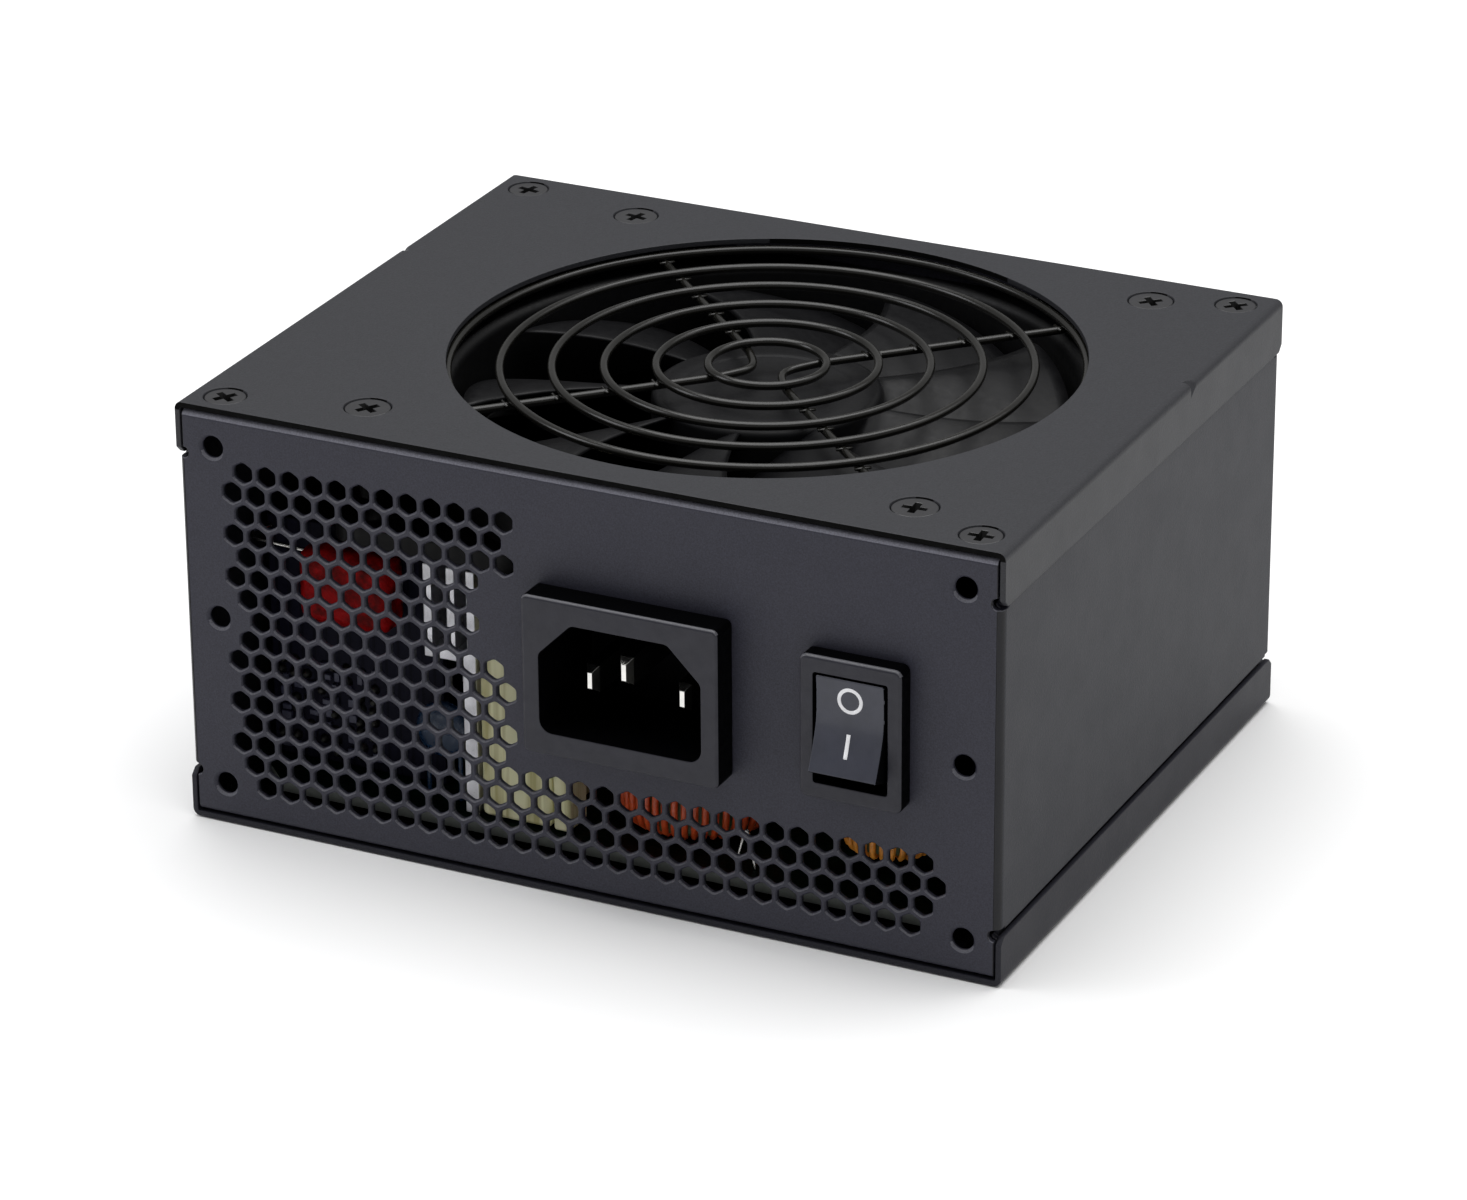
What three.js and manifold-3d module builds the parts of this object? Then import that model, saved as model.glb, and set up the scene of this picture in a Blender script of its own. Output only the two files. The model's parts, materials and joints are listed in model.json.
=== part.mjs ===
// A compact (SFX size) computer power supply, built as an assembly of separate pieces.
//
// Units are millimetres and +Z is up. The origin is the middle of the housing's underside.
// The fan looks up, the mains inlet and its switch look towards -Y, and the low-voltage
// output sockets look towards +Y. Neighbouring pieces that touch keep a small gap.

import * as THREE from 'three';
import { mergeVertices } from 'three/addons/utils/BufferGeometryUtils.js';
import Module from 'manifold-3d';

const wasm = await Module();
wasm.setup();

// ---------------------------------------------------------------- driving dimensions

// Housing
const WIDTH = 125;
const DEPTH = 100;
const HEIGHT = 63.5;
const SHEET = 0.8;
const GAP = 0.3;
const SEAT = 0.05;
const COVER_FLANGE = 7.8;
const TRAY_FLANGE = 7.2;
const JOGGLE = 0.7;
const FLANGE_CHAMFER = 1;
const TAB_DEPTH = 9;
const RETURN_FLANGE = 10;
const RELIEF = 1.6;
const TAB_X = 59.5;
const SCREW_PASSAGE = 2.5;
const GUARD_PASSAGE = 3;

// Mounting holes of the rear panel (a standard pattern)
const MOUNT_X = 56.8;
const MOUNT_LOW = 6;
const MOUNT_STEP = 25.75;
const MOUNT_HOLE_RADIUS = 1.6;

// Screws that hold the cover and the tray
const COVER_SCREW_X = 57;
const COVER_SCREW_Y = 45.4;
const COVER_HEAD_RADIUS = 3.1;
const FAN_HEAD_RADIUS = 3.4;
const HEAD_HEIGHT = 1.5;
const SHANK_RADIUS = 1.5;
const COVER_SCREW_LENGTH = 4.2;
const FAN_SCREW_LENGTH = 13;

// Honeycomb vents: [first hole in half pitches, number of holes], top row first
const VENT_PITCH = 3.68;
const VENT_FLAT = 2.86;
const VENT_LEFT = -53.9;
const VENT_TOP = 54.4;
const VENT_ROWS = [
  [1, 12], [0, 12], [1, 12], [0, 11], [1, 10], [0, 11], [1, 10], [2, 11],
  [1, 12], [0, 12], [1, 12], [0, 12], [1, 29], [0, 30], [1, 29], [2, 28],
];

// Fan, 92 mm frame with 82.5 mm hole spacing
const FAN_X = 4.1;
const FAN_Y = 0.6;
const FAN_SIZE = 92;
const FAN_THICKNESS = 15;
const FAN_TOP = 59.5;
const FAN_BORE = 44.3;
const FAN_CORNER = 4;
const FAN_HOLE_OFFSET = 41.25;
const FAN_HOLE_RADIUS = 2.15;
const OPENING_RADIUS = 45.1;
const STRUT_WIDTH = 4;
const STRUT_HEIGHT = 2;
const MOTOR_PLATE_RADIUS = 17;
const HUB_RADIUS = 16.4;
const HUB_WALL = 1.6;
const BLADE_COUNT = 9;
const BLADE_TIP = 42.8;
const BLADE_WIDTH = 38;
const BLADE_SWEEP = 10;
const BLADE_THICKNESS = 1.1;
const BLADE_START = 23;

// Wire guard
const WIRE = 0.62;
const RING_COUNT = 6;
const FIRST_RING = 8.33;
const RING_STEP = 7.33;
const RING_Z = 61.8;
const SPOKE_Z = 60.8;
const SPOKE_TURN = 2.6;

// Mains inlet
const INLET_X = 8.1;
const INLET_Z = 35;
const INLET_FLANGE = { width: 29.6, height: 23.4, depth: 4.6 };
const INLET_BODY = { width: 26.8, height: 18.6, depth: 14 };
const INLET_CAVITY = { width: 24.4, height: 16.6, chamfer: 5 };
const INLET_BACK = 2.5;
const PIN_SPACING = 7;
const LIVE_PIN_Z = -1.8;
const EARTH_PIN_Z = 2.2;
const LIVE_PIN_RECESS = 5;
const EARTH_PIN_RECESS = 1.5;
const PIN = { width: 2, height: 4, tail: 8 };

// Mains switch
const SWITCH_X = 41.6;
const SWITCH_Z = 34.7;
const SWITCH_FLANGE = { width: 15, height: 21, depth: 3 };
const SWITCH_BODY = { width: 12.4, height: 18.6, depth: 13 };
const SWITCH_WINDOW = { width: 10.9, height: 16.2, depth: 11 };
const PIVOT_INSET = 5;
const PIVOT_RADIUS = 1.2;
const ROCKER_WIDTH = 10;
const ROCKER_TILT = 11;
const TERMINAL_PLACES = [-4.6, 4.6];

// Circuit board and what stands on it
const BOARD = { x: 57.5, back: -47, front: 44, low: 5, high: 6.6 };
const FOOT = 6.9;
const BOSS_X = 50;
const BOSS_Y = 36;
const BOSS_TIP = 2.6;
const BOSS_FOOT = 4;

// Output sockets: [name, centre x, centre z, columns]
const SOCKET_COLUMN = 4.2;
const SOCKET_WALL = 0.9;
const SOCKET_HEIGHT = 11.2;
const SOCKET_BACK = 40.5;
const SOCKET_FRONT = 49.7;
const SOCKET_CAVITY = 7.2;
const SOCKETS = [
  ['socket_mainboard_long', 22.5, 34.5, 9],
  ['socket_mainboard_short', -14, 34.5, 5],
  ['socket_processor', 33, 17.5, 4],
  ['socket_graphics', 10.5, 17.5, 4],
  ['socket_drives_1', -11, 17.5, 3],
  ['socket_drives_2', -30, 17.5, 3],
];

// Slots over the output sockets
const SLOT_SIDE_COUNT = 6;
const SLOT_PITCH = 7;
const SLOT_WIDTH = 4;
const SLOT_LOW = 46.5;
const SLOT_HIGH = 57;

// Derived places
const SIDE = WIDTH / 2;
const REAR = -DEPTH / 2;
const FRONT = DEPTH / 2;
const WALL_OUTER = SIDE - GAP;
const LAP_OUTER = SIDE - SHEET - GAP;
const SHELL_TOP = HEIGHT - SHEET - GAP;
const SHELL_LOW = SHEET + GAP;
const FAN_BOTTOM = FAN_TOP - FAN_THICKNESS;
const PANEL_OUTER = FRONT - SHEET - GAP;

// ---------------------------------------------------------------- shape helpers

const radians = THREE.MathUtils.degToRad;

function solidFrom(geometry) {
  const bare = geometry.clone();
  bare.deleteAttribute('normal');
  bare.deleteAttribute('uv');
  const merged = mergeVertices(bare, 1e-4);
  const index = merged.index.array;
  const kept = [];
  for (let i = 0; i < index.length; i += 3) {
    const [a, b, c] = [index[i], index[i + 1], index[i + 2]];
    if (a !== b && b !== c && c !== a) kept.push(a, b, c);
  }
  const vertProperties = Float32Array.from(merged.attributes.position.array);
  const build = () => {
    const triVerts = Uint32Array.from(kept);
    return new wasm.Manifold(new wasm.Mesh({ numProp: 3, vertProperties, triVerts }));
  };
  const solid = build();
  if (solid.volume() > 0) return solid;
  // A profile may run either way round, so faces that point inwards are turned over
  kept.reverse();
  return build();
}

function geometryFrom(solid) {
  const mesh = solid.getMesh();
  const geometry = new THREE.BufferGeometry();
  geometry.setAttribute('position', new THREE.BufferAttribute(mesh.vertProperties, 3));
  geometry.setIndex(new THREE.BufferAttribute(mesh.triVerts, 1));
  geometry.computeVertexNormals();
  return geometry;
}

function joined(solids) {
  return solids.reduce((whole, solid) => whole.add(solid));
}

function cutBy(solid, tools) {
  return tools.reduce((left, tool) => left.subtract(tool), solid);
}

// A box between two values on each axis.
function block(x0, x1, y0, y1, z0, z1) {
  const geometry = new THREE.BoxGeometry(x1 - x0, y1 - y0, z1 - z0);
  geometry.translate((x0 + x1) / 2, (y0 + y1) / 2, (z0 + z1) / 2);
  return solidFrom(geometry);
}

// A box of the given width (X) and height (Z) centred on the Y axis.
function centredBlock(width, height, y0, y1) {
  return block(-width / 2, width / 2, y0, y1, -height / 2, height / 2);
}

// An upright cone or cylinder.
function rod(lowRadius, highRadius, z0, z1, x = 0, y = 0, sides = 12) {
  const geometry = new THREE.CylinderGeometry(highRadius, lowRadius, z1 - z0, sides);
  geometry.rotateX(Math.PI / 2);
  geometry.translate(x, y, (z0 + z1) / 2);
  return solidFrom(geometry);
}

function tube(inner, outer, z0, z1, x = 0, y = 0, sides = 16) {
  return rod(outer, outer, z0, z1, x, y, sides).subtract(rod(inner, inner, z0 - 1, z1 + 1, x, y, sides));
}

// A cylinder lying along the Y axis.
function rodAlongY(radius, y0, y1, x, z, sides = 12) {
  const geometry = new THREE.CylinderGeometry(radius, radius, y1 - y0, sides);
  geometry.translate(x, (y0 + y1) / 2, z);
  return solidFrom(geometry);
}

// Turns a closed profile of [radius, z] points around the Z axis.
function turned(profile, sides) {
  const points = profile.map(([radius, z]) => new THREE.Vector2(radius, z));
  const geometry = new THREE.LatheGeometry(points, sides);
  geometry.rotateX(Math.PI / 2);
  return solidFrom(geometry);
}

function shapeOf(points) {
  return new THREE.Shape(points.map(([x, y]) => new THREE.Vector2(x, y)));
}

// Extrudes one outline, or several, drawn in X and Z, along Y.
function extrudeAlongY(shapes, y0, y1) {
  const geometry = new THREE.ExtrudeGeometry(shapes, { depth: y1 - y0, bevelEnabled: false });
  geometry.rotateX(Math.PI / 2);
  geometry.translate(0, y1, 0);
  return solidFrom(geometry);
}

// Extrudes an outline drawn in X and Y, along Z.
function extrudeAlongZ(shapes, z0, z1) {
  const options = { depth: z1 - z0, bevelEnabled: false, curveSegments: 4 };
  const geometry = new THREE.ExtrudeGeometry(shapes, options);
  geometry.translate(0, 0, z0);
  return solidFrom(geometry);
}

// Extrudes an outline drawn in Y and Z, along X.
function extrudeAlongX(shapes, x0, x1) {
  const geometry = new THREE.ExtrudeGeometry(shapes, { depth: x1 - x0, bevelEnabled: false });
  geometry.rotateX(Math.PI / 2);
  geometry.rotateZ(Math.PI / 2);
  geometry.translate(x0, 0, 0);
  return solidFrom(geometry);
}

function roundedSquare(size, corner) {
  const half = size / 2;
  const shape = new THREE.Shape();
  shape.moveTo(-half + corner, -half);
  shape.lineTo(half - corner, -half);
  shape.absarc(half - corner, -half + corner, corner, -Math.PI / 2, 0, false);
  shape.lineTo(half, half - corner);
  shape.absarc(half - corner, half - corner, corner, 0, Math.PI / 2, false);
  shape.lineTo(-half + corner, half);
  shape.absarc(-half + corner, half - corner, corner, Math.PI / 2, Math.PI, false);
  shape.lineTo(-half, -half + corner);
  shape.absarc(-half + corner, -half + corner, corner, Math.PI, 1.5 * Math.PI, false);
  return shape;
}

// All four combinations of +x/-x and +y/-y.
function corners(x, y) {
  return [[-x, -y], [x, -y], [x, y], [-x, y]];
}

function addPiece(parent, name, solid, color, roughness, metalness) {
  const material = new THREE.MeshStandardMaterial({ color, roughness, metalness });
  const mesh = new THREE.Mesh(geometryFrom(solid), material);
  mesh.name = name;
  parent.add(mesh);
  return mesh;
}

function addGroup(parent, x, y, z) {
  const group = new THREE.Group();
  group.position.set(x, y, z);
  parent.add(group);
  return group;
}

// ---------------------------------------------------------------- housing

// Cross-section of the shell: straight walls that step inwards where the cover and tray lap over.
function shellOutline(inset) {
  const wall = WALL_OUTER - inset;
  const lap = LAP_OUTER - inset;
  const lowStep = TRAY_FLANGE + SEAT * 2;
  const highStep = HEIGHT - COVER_FLANGE - SEAT * 2;
  const right = [
    [lap, SHELL_LOW], [lap, lowStep], [wall, lowStep + JOGGLE],
    [wall, highStep - JOGGLE], [lap, highStep], [lap, SHELL_TOP],
  ];
  const left = right.map(([x, z]) => [-x, z]).reverse();
  return shapeOf([...right, ...left]);
}

function ventHoles() {
  const radius = VENT_FLAT / Math.sqrt(3);
  const rowStep = VENT_PITCH * Math.sqrt(3) / 2;
  const shapes = [];
  VENT_ROWS.forEach(([start, count], row) => {
    for (let hole = 0; hole < count; hole += 1) {
      const x = VENT_LEFT + (start / 2 + hole) * VENT_PITCH;
      const z = VENT_TOP - row * rowStep;
      const points = [];
      for (let corner = 0; corner < 6; corner += 1) {
        const angle = radians(30 + 60 * corner);
        points.push([x + radius * Math.cos(angle), z + radius * Math.sin(angle)]);
      }
      shapes.push(shapeOf(points));
    }
  });
  return extrudeAlongY(shapes, REAR - 1, REAR + SHEET + 1);
}

function mountingHoles() {
  const holes = [];
  for (const x of [-MOUNT_X, MOUNT_X]) {
    for (let level = 0; level < 3; level += 1) {
      const z = MOUNT_LOW + level * MOUNT_STEP;
      holes.push(rodAlongY(MOUNT_HOLE_RADIUS, REAR - 1, REAR + SHEET + 1, x, z));
    }
  }
  return holes;
}

// Room for the guard's outer ring and the fan screws in the tabs that lie under the cover.
function fanClearance() {
  const ring = FIRST_RING + (RING_COUNT - 1) * RING_STEP + WIRE + GAP;
  const cuts = [rod(ring, ring, SHELL_TOP - 2, SHELL_TOP + 1, FAN_X, FAN_Y, 36)];
  for (const [x, y] of corners(FAN_HOLE_OFFSET, FAN_HOLE_OFFSET)) {
    cuts.push(rod(GUARD_PASSAGE, GUARD_PASSAGE, SHELL_TOP - 2, SHELL_TOP + 1, FAN_X + x, FAN_Y + y));
  }
  return cuts;
}

function makeShell() {
  const walls = extrudeAlongY(shellOutline(0), REAR, FRONT)
    .subtract(extrudeAlongY(shellOutline(SHEET), REAR + SHEET, FRONT + 1))
    .subtract(block(-LAP_OUTER + SHEET, LAP_OUTER - SHEET, REAR + SHEET, FRONT + 1, 0, HEIGHT));
  const wallLow = TRAY_FLANGE + SEAT * 2 + JOGGLE;
  const wallHigh = HEIGHT - COVER_FLANGE - SEAT * 2 - JOGGLE;
  const parts = [walls];
  for (const z of [SHELL_LOW, SHELL_TOP - SHEET]) {
    parts.push(block(-TAB_X, TAB_X, REAR, REAR + TAB_DEPTH, z, z + SHEET));
  }
  for (const side of [-1, 1]) {
    const x = side * (WALL_OUTER - RETURN_FLANGE / 2);
    const half = RETURN_FLANGE / 2;
    parts.push(block(x - half, x + half, FRONT - SHEET, FRONT, wallLow, wallHigh));
  }
  const cuts = [ventHoles(), ...mountingHoles(), ...fanClearance()];
  for (const [x, y] of corners(COVER_SCREW_X, COVER_SCREW_Y)) {
    if (y < 0) cuts.push(rod(SCREW_PASSAGE, SCREW_PASSAGE, 0, HEIGHT, x, y));
  }
  // Relief notches where the bends of the corners meet
  for (const side of [-1, 1]) {
    for (const [y0, y1] of [[REAR - 1, REAR + RELIEF], [FRONT - RELIEF, FRONT + 1]]) {
      const x0 = side > 0 ? LAP_OUTER - SHEET : -SIDE;
      const x1 = side > 0 ? SIDE : -LAP_OUTER + SHEET;
      cuts.push(block(x0, x1, y0, y1, wallHigh, wallHigh + RELIEF));
      cuts.push(block(x0, x1, y0, y1, wallLow - RELIEF, wallLow));
    }
  }
  for (const [body, x, z] of [[INLET_BODY, INLET_X, INLET_Z], [SWITCH_BODY, SWITCH_X, SWITCH_Z]]) {
    const hole = centredBlock(body.width + 2 * GAP, body.height + 2 * GAP, REAR - 1, REAR + 2);
    cuts.push(hole.translate([x, 0, z]));
  }
  return cutBy(joined(parts), cuts);
}

// A flat plate with a flange down each side, whose ends are chamfered at the free corners.
function channel(flange) {
  const side = [
    [REAR, HEIGHT], [REAR, HEIGHT - flange + FLANGE_CHAMFER], [REAR + FLANGE_CHAMFER, HEIGHT - flange],
    [FRONT - FLANGE_CHAMFER, HEIGHT - flange], [FRONT, HEIGHT - flange + FLANGE_CHAMFER], [FRONT, HEIGHT],
  ];
  const outer = extrudeAlongX(shapeOf(side), -SIDE, SIDE);
  return outer.subtract(block(-SIDE + SHEET, SIDE - SHEET, REAR - 1, FRONT + 1, 0, HEIGHT - SHEET));
}

// The hole that a sunk screw head needs in the sheet whose top is at the full height.
function sunkHole(headRadius, x, y) {
  const mouth = headRadius + GAP;
  const throat = mouth - 0.5;
  return rod(throat, mouth, HEIGHT - SHEET, HEIGHT, x, y)
    .add(rod(mouth, mouth, HEIGHT - SEAT, HEIGHT + 1, x, y))
    .add(rod(throat, throat, HEIGHT - SHEET - 1, HEIGHT - SHEET + SEAT, x, y));
}

function makeCover() {
  const cuts = [rod(OPENING_RADIUS, OPENING_RADIUS, HEIGHT - 5, HEIGHT + 1, FAN_X, FAN_Y, 48)];
  for (const [x, y] of corners(COVER_SCREW_X, COVER_SCREW_Y)) {
    cuts.push(sunkHole(COVER_HEAD_RADIUS, x, y));
  }
  for (const [x, y] of corners(FAN_HOLE_OFFSET, FAN_HOLE_OFFSET)) {
    cuts.push(sunkHole(FAN_HEAD_RADIUS, FAN_X + x, FAN_Y + y));
  }
  return cutBy(channel(COVER_FLANGE), cuts);
}

// The tray is built lid-up, like the cover, and turned over about the Y axis when it is placed.
function makeTray() {
  const cuts = corners(COVER_SCREW_X, COVER_SCREW_Y).map(([x, y]) => sunkHole(COVER_HEAD_RADIUS, x, y));
  const bosses = corners(BOSS_X, BOSS_Y)
    .map(([x, y]) => rod(BOSS_TIP, BOSS_FOOT, HEIGHT - BOARD.low + 0.2, HEIGHT - SHEET / 2, x, y));
  return cutBy(joined([channel(TRAY_FLANGE), ...bosses]), cuts);
}

function makeConnectorPanel() {
  const half = LAP_OUTER - SHEET - GAP;
  const parts = [block(-half, half, PANEL_OUTER - SHEET, PANEL_OUTER, SHELL_LOW, SHELL_TOP)];
  for (const z of [SHELL_LOW, SHELL_TOP - SHEET]) {
    parts.push(block(-TAB_X, TAB_X, PANEL_OUTER - TAB_DEPTH, PANEL_OUTER, z, z + SHEET));
  }
  const behind = PANEL_OUTER - SHEET - 1;
  const cuts = SOCKETS.map(([, x, z, columns]) => {
    const wide = socketWidth(columns) / 2 + GAP;
    const tall = SOCKET_HEIGHT / 2 + GAP;
    return block(x - wide, x + wide, behind, FRONT, z - tall, z + tall);
  });
  cuts.push(...fanClearance());
  for (const side of [-1, 1]) {
    cuts.push(rod(SCREW_PASSAGE, SCREW_PASSAGE, 0, HEIGHT, side * COVER_SCREW_X, COVER_SCREW_Y));
  }
  for (let slot = -SLOT_SIDE_COUNT; slot <= SLOT_SIDE_COUNT; slot += 1) {
    const x = slot * SLOT_PITCH;
    cuts.push(block(x - SLOT_WIDTH / 2, x + SLOT_WIDTH / 2, behind, FRONT, SLOT_LOW, SLOT_HIGH));
  }
  return cutBy(joined(parts), cuts);
}

// A sunk-head screw whose head top is at z = 0 and whose shank points down.
function screw(headRadius, length) {
  const head = [[0, 0], [headRadius, 0], [SHANK_RADIUS, -HEAD_HEIGHT]];
  return turned([...head, [SHANK_RADIUS, -length], [0, -length]], 10);
}

function addHousing(parent) {
  addPiece(parent, 'main_shell', makeShell(), 0x3c3c46, 0.62, 0.2);
  addPiece(parent, 'top_cover', makeCover(), 0x3e3f42, 0.62, 0.2);
  const tray = addPiece(parent, 'bottom_tray', makeTray(), 0x3c3c44, 0.62, 0.2);
  tray.position.z = HEIGHT;
  tray.rotation.y = Math.PI;
  addPiece(parent, 'connector_panel', makeConnectorPanel(), 0x3c3c44, 0.62, 0.2);
  corners(COVER_SCREW_X, COVER_SCREW_Y).forEach(([x, y], i) => {
    const solid = screw(COVER_HEAD_RADIUS, COVER_SCREW_LENGTH);
    const top = addPiece(parent, `cover_screw_${i + 1}`, solid, 0x2a2a2c, 0.4, 0.8);
    top.position.set(x, y, HEIGHT - 0.15);
    const low = addPiece(parent, `tray_screw_${i + 1}`, solid, 0x2a2a2c, 0.4, 0.8);
    low.position.set(x, y, 0.15);
    low.rotation.x = Math.PI;
  });
  corners(FAN_HOLE_OFFSET, FAN_HOLE_OFFSET).forEach(([x, y], i) => {
    const solid = screw(FAN_HEAD_RADIUS, FAN_SCREW_LENGTH);
    const fixing = addPiece(parent, `fan_screw_${i + 1}`, solid, 0x2a2a2c, 0.4, 0.8);
    fixing.position.set(FAN_X + x, FAN_Y + y, HEIGHT - 0.15);
  });
}

// ---------------------------------------------------------------- fan and guard

function makeFanFrame() {
  const bore = rod(FAN_BORE, FAN_BORE, FAN_BOTTOM - 1, FAN_TOP + 1, 0, 0, 36);
  const holes = corners(FAN_HOLE_OFFSET, FAN_HOLE_OFFSET)
    .map(([x, y]) => rod(FAN_HOLE_RADIUS, FAN_HOLE_RADIUS, FAN_BOTTOM - 1, FAN_TOP + 1, x, y, 8));
  const outer = extrudeAlongZ(roundedSquare(FAN_SIZE, FAN_CORNER), FAN_BOTTOM, FAN_TOP);
  const wall = cutBy(outer, [bore, ...holes]);
  const strutTop = FAN_BOTTOM + STRUT_HEIGHT;
  const reach = FAN_BORE + 0.8;
  const struts = [
    block(-reach, reach, -STRUT_WIDTH / 2, STRUT_WIDTH / 2, FAN_BOTTOM, strutTop),
    block(-STRUT_WIDTH / 2, STRUT_WIDTH / 2, -reach, reach, FAN_BOTTOM, strutTop),
  ];
  const plate = rod(MOTOR_PLATE_RADIUS, MOTOR_PLATE_RADIUS, FAN_BOTTOM, strutTop, 0, 0, 20);
  const boss = tube(2.7, 3.6, strutTop - 0.5, FAN_BOTTOM + 10.1);
  const well = rod(2.7, 2.7, strutTop - 0.5, strutTop + 1, 0, 0, 16);
  return joined([wall, ...struts, plate]).subtract(well).add(boss);
}

// Blade surface: the angle runs from the trailing edge (0) to the leading edge (1), which is higher.
function bladePoint(along, across, face) {
  const root = HUB_RADIUS - HUB_WALL / 2;
  const radius = root + (BLADE_TIP - root) * along;
  const angle = radians(BLADE_SWEEP * along * along + (across - 0.5) * BLADE_WIDTH);
  const rise = 8.2 - 1.2 * along;
  const camber = 0.9 * Math.sin(Math.PI * across);
  const middle = FAN_BOTTOM + 9.2;
  const z = middle + (across - 0.5) * rise + camber + face * BLADE_THICKNESS / 2;
  return [radius * Math.cos(angle), radius * Math.sin(angle), z];
}

// One closed blade: an upper and a lower grid of points, joined round their edges.
function makeBlade() {
  const alongSteps = 4;
  const acrossSteps = 3;
  const points = [];
  for (const face of [1, -1]) {
    for (let i = 0; i <= alongSteps; i += 1) {
      for (let j = 0; j <= acrossSteps; j += 1) {
        points.push(...bladePoint(i / alongSteps, j / acrossSteps, face));
      }
    }
  }
  const layer = (alongSteps + 1) * (acrossSteps + 1);
  const at = (i, j, lower) => i * (acrossSteps + 1) + j + (lower ? layer : 0);
  const index = [];
  const quad = (a, b, c, d) => index.push(a, b, c, a, c, d);
  for (let i = 0; i < alongSteps; i += 1) {
    for (let j = 0; j < acrossSteps; j += 1) {
      quad(at(i, j, false), at(i + 1, j, false), at(i + 1, j + 1, false), at(i, j + 1, false));
      quad(at(i, j, true), at(i, j + 1, true), at(i + 1, j + 1, true), at(i + 1, j, true));
    }
    const next = i + 1;
    const last = acrossSteps;
    quad(at(i, 0, true), at(next, 0, true), at(next, 0, false), at(i, 0, false));
    quad(at(i, last, false), at(next, last, false), at(next, last, true), at(i, last, true));
  }
  for (let j = 0; j < acrossSteps; j += 1) {
    const next = j + 1;
    const last = alongSteps;
    quad(at(0, j, false), at(0, next, false), at(0, next, true), at(0, j, true));
    quad(at(last, j, true), at(last, next, true), at(last, next, false), at(last, j, false));
  }
  const geometry = new THREE.BufferGeometry();
  geometry.setAttribute('position', new THREE.Float32BufferAttribute(points, 3));
  geometry.setIndex(index);
  return geometry;
}

function makeRotor() {
  const top = FAN_BOTTOM + 13.8;
  const low = FAN_BOTTOM + 3.5;
  const inner = HUB_RADIUS - HUB_WALL;
  const hub = turned([
    [0, top - 0.9], [1.8, top - 0.9], [1.8, top - 3.4], [3, top - 3.4], [3, top - 1.4],
    [inner, top - 1.4], [inner, low], [HUB_RADIUS, low], [HUB_RADIUS, top - 1],
    [HUB_RADIUS - 1, top], [0, top],
  ], 20);
  const blades = [];
  for (let i = 0; i < BLADE_COUNT; i += 1) {
    const blade = makeBlade();
    blade.rotateZ(i * 2 * Math.PI / BLADE_COUNT + radians(BLADE_START));
    blades.push(solidFrom(blade));
  }
  return joined([hub, ...blades]);
}

function makeStator() {
  const low = FAN_BOTTOM + 4;
  const high = FAN_BOTTOM + 9.5;
  const slots = [];
  for (let i = 0; i < 4; i += 1) {
    const pocket = new THREE.BoxGeometry(5, 5, 20);
    pocket.translate(8, 0, (low + high) / 2);
    const mouth = new THREE.BoxGeometry(8, 1.4, 20);
    mouth.translate(11, 0, (low + high) / 2);
    for (const cut of [pocket, mouth]) {
      cut.rotateZ(radians(45 + 90 * i));
      slots.push(solidFrom(cut));
    }
  }
  return cutBy(tube(3.9, 12.4, low, high, 0, 0, 24), slots);
}

function makeGuard() {
  const parts = [];
  for (let ring = 0; ring < RING_COUNT; ring += 1) {
    const radius = FIRST_RING + ring * RING_STEP;
    const section = [
      [radius + WIRE, RING_Z], [radius, RING_Z + WIRE],
      [radius - WIRE, RING_Z], [radius, RING_Z - WIRE],
    ];
    parts.push(turned([...section, section[0]], ring < 2 ? 16 : 28));
  }
  for (const side of [-1, 1]) {
    parts.push(makeSpoke(side));
  }
  for (const [x, y] of corners(FAN_HOLE_OFFSET, FAN_HOLE_OFFSET)) {
    parts.push(tube(2, 3.7, SPOKE_Z - WIRE, SPOKE_Z + WIRE, x, y, 12));
  }
  return joined(parts);
}

// One bent wire: in from a corner, round beside the middle, and out to the other corner.
function makeSpoke(side) {
  const end = FAN_HOLE_OFFSET - 2;
  const bend = FIRST_RING * 0.75;
  const path = new THREE.CatmullRomCurve3([
    [end, end], [end / 2, end / 2], [bend + 2, bend + 2], [bend - 1.6, bend - 2], [SPOKE_TURN, 0],
    [bend - 1.6, 2 - bend], [bend + 2, -bend - 2], [end / 2, -end / 2], [end, -end],
  ].map(([x, y]) => new THREE.Vector3(side * x, side * y, SPOKE_Z)), false, 'centripetal');
  const square = shapeOf(corners(WIRE * 0.8, WIRE * 0.8));
  const options = { steps: 22, bevelEnabled: false, extrudePath: path };
  return solidFrom(new THREE.ExtrudeGeometry(square, options));
}

function addFan(parent) {
  const fan = addGroup(parent, FAN_X, FAN_Y, 0);
  addPiece(fan, 'fan_guard', makeGuard(), 0x1c1c1d, 0.35, 0.7);
  addPiece(fan, 'fan_frame', makeFanFrame(), 0x161617, 0.5, 0);
  addPiece(fan, 'fan_rotor', makeRotor(), 0x1e1e20, 0.4, 0);
  addPiece(fan, 'fan_shaft', rod(1.5, 1.5, FAN_BOTTOM + 2.1, FAN_BOTTOM + 12.6), 0xb8bac0, 0.25, 1);
  addPiece(fan, 'fan_bearing', tube(1.8, 2.4, FAN_BOTTOM + 2.2, FAN_BOTTOM + 9.8), 0xa8803c, 0.4, 0.9);
  addPiece(fan, 'fan_stator', makeStator(), 0xa05a2c, 0.4, 0.6);
  const magnet = tube(12.9, 14.5, FAN_BOTTOM + 4, FAN_BOTTOM + 12, 0, 0, 24);
  addPiece(fan, 'fan_magnet', magnet, 0x303034, 0.5, 0.3);
}

// ---------------------------------------------------------------- mains inlet and switch

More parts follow.
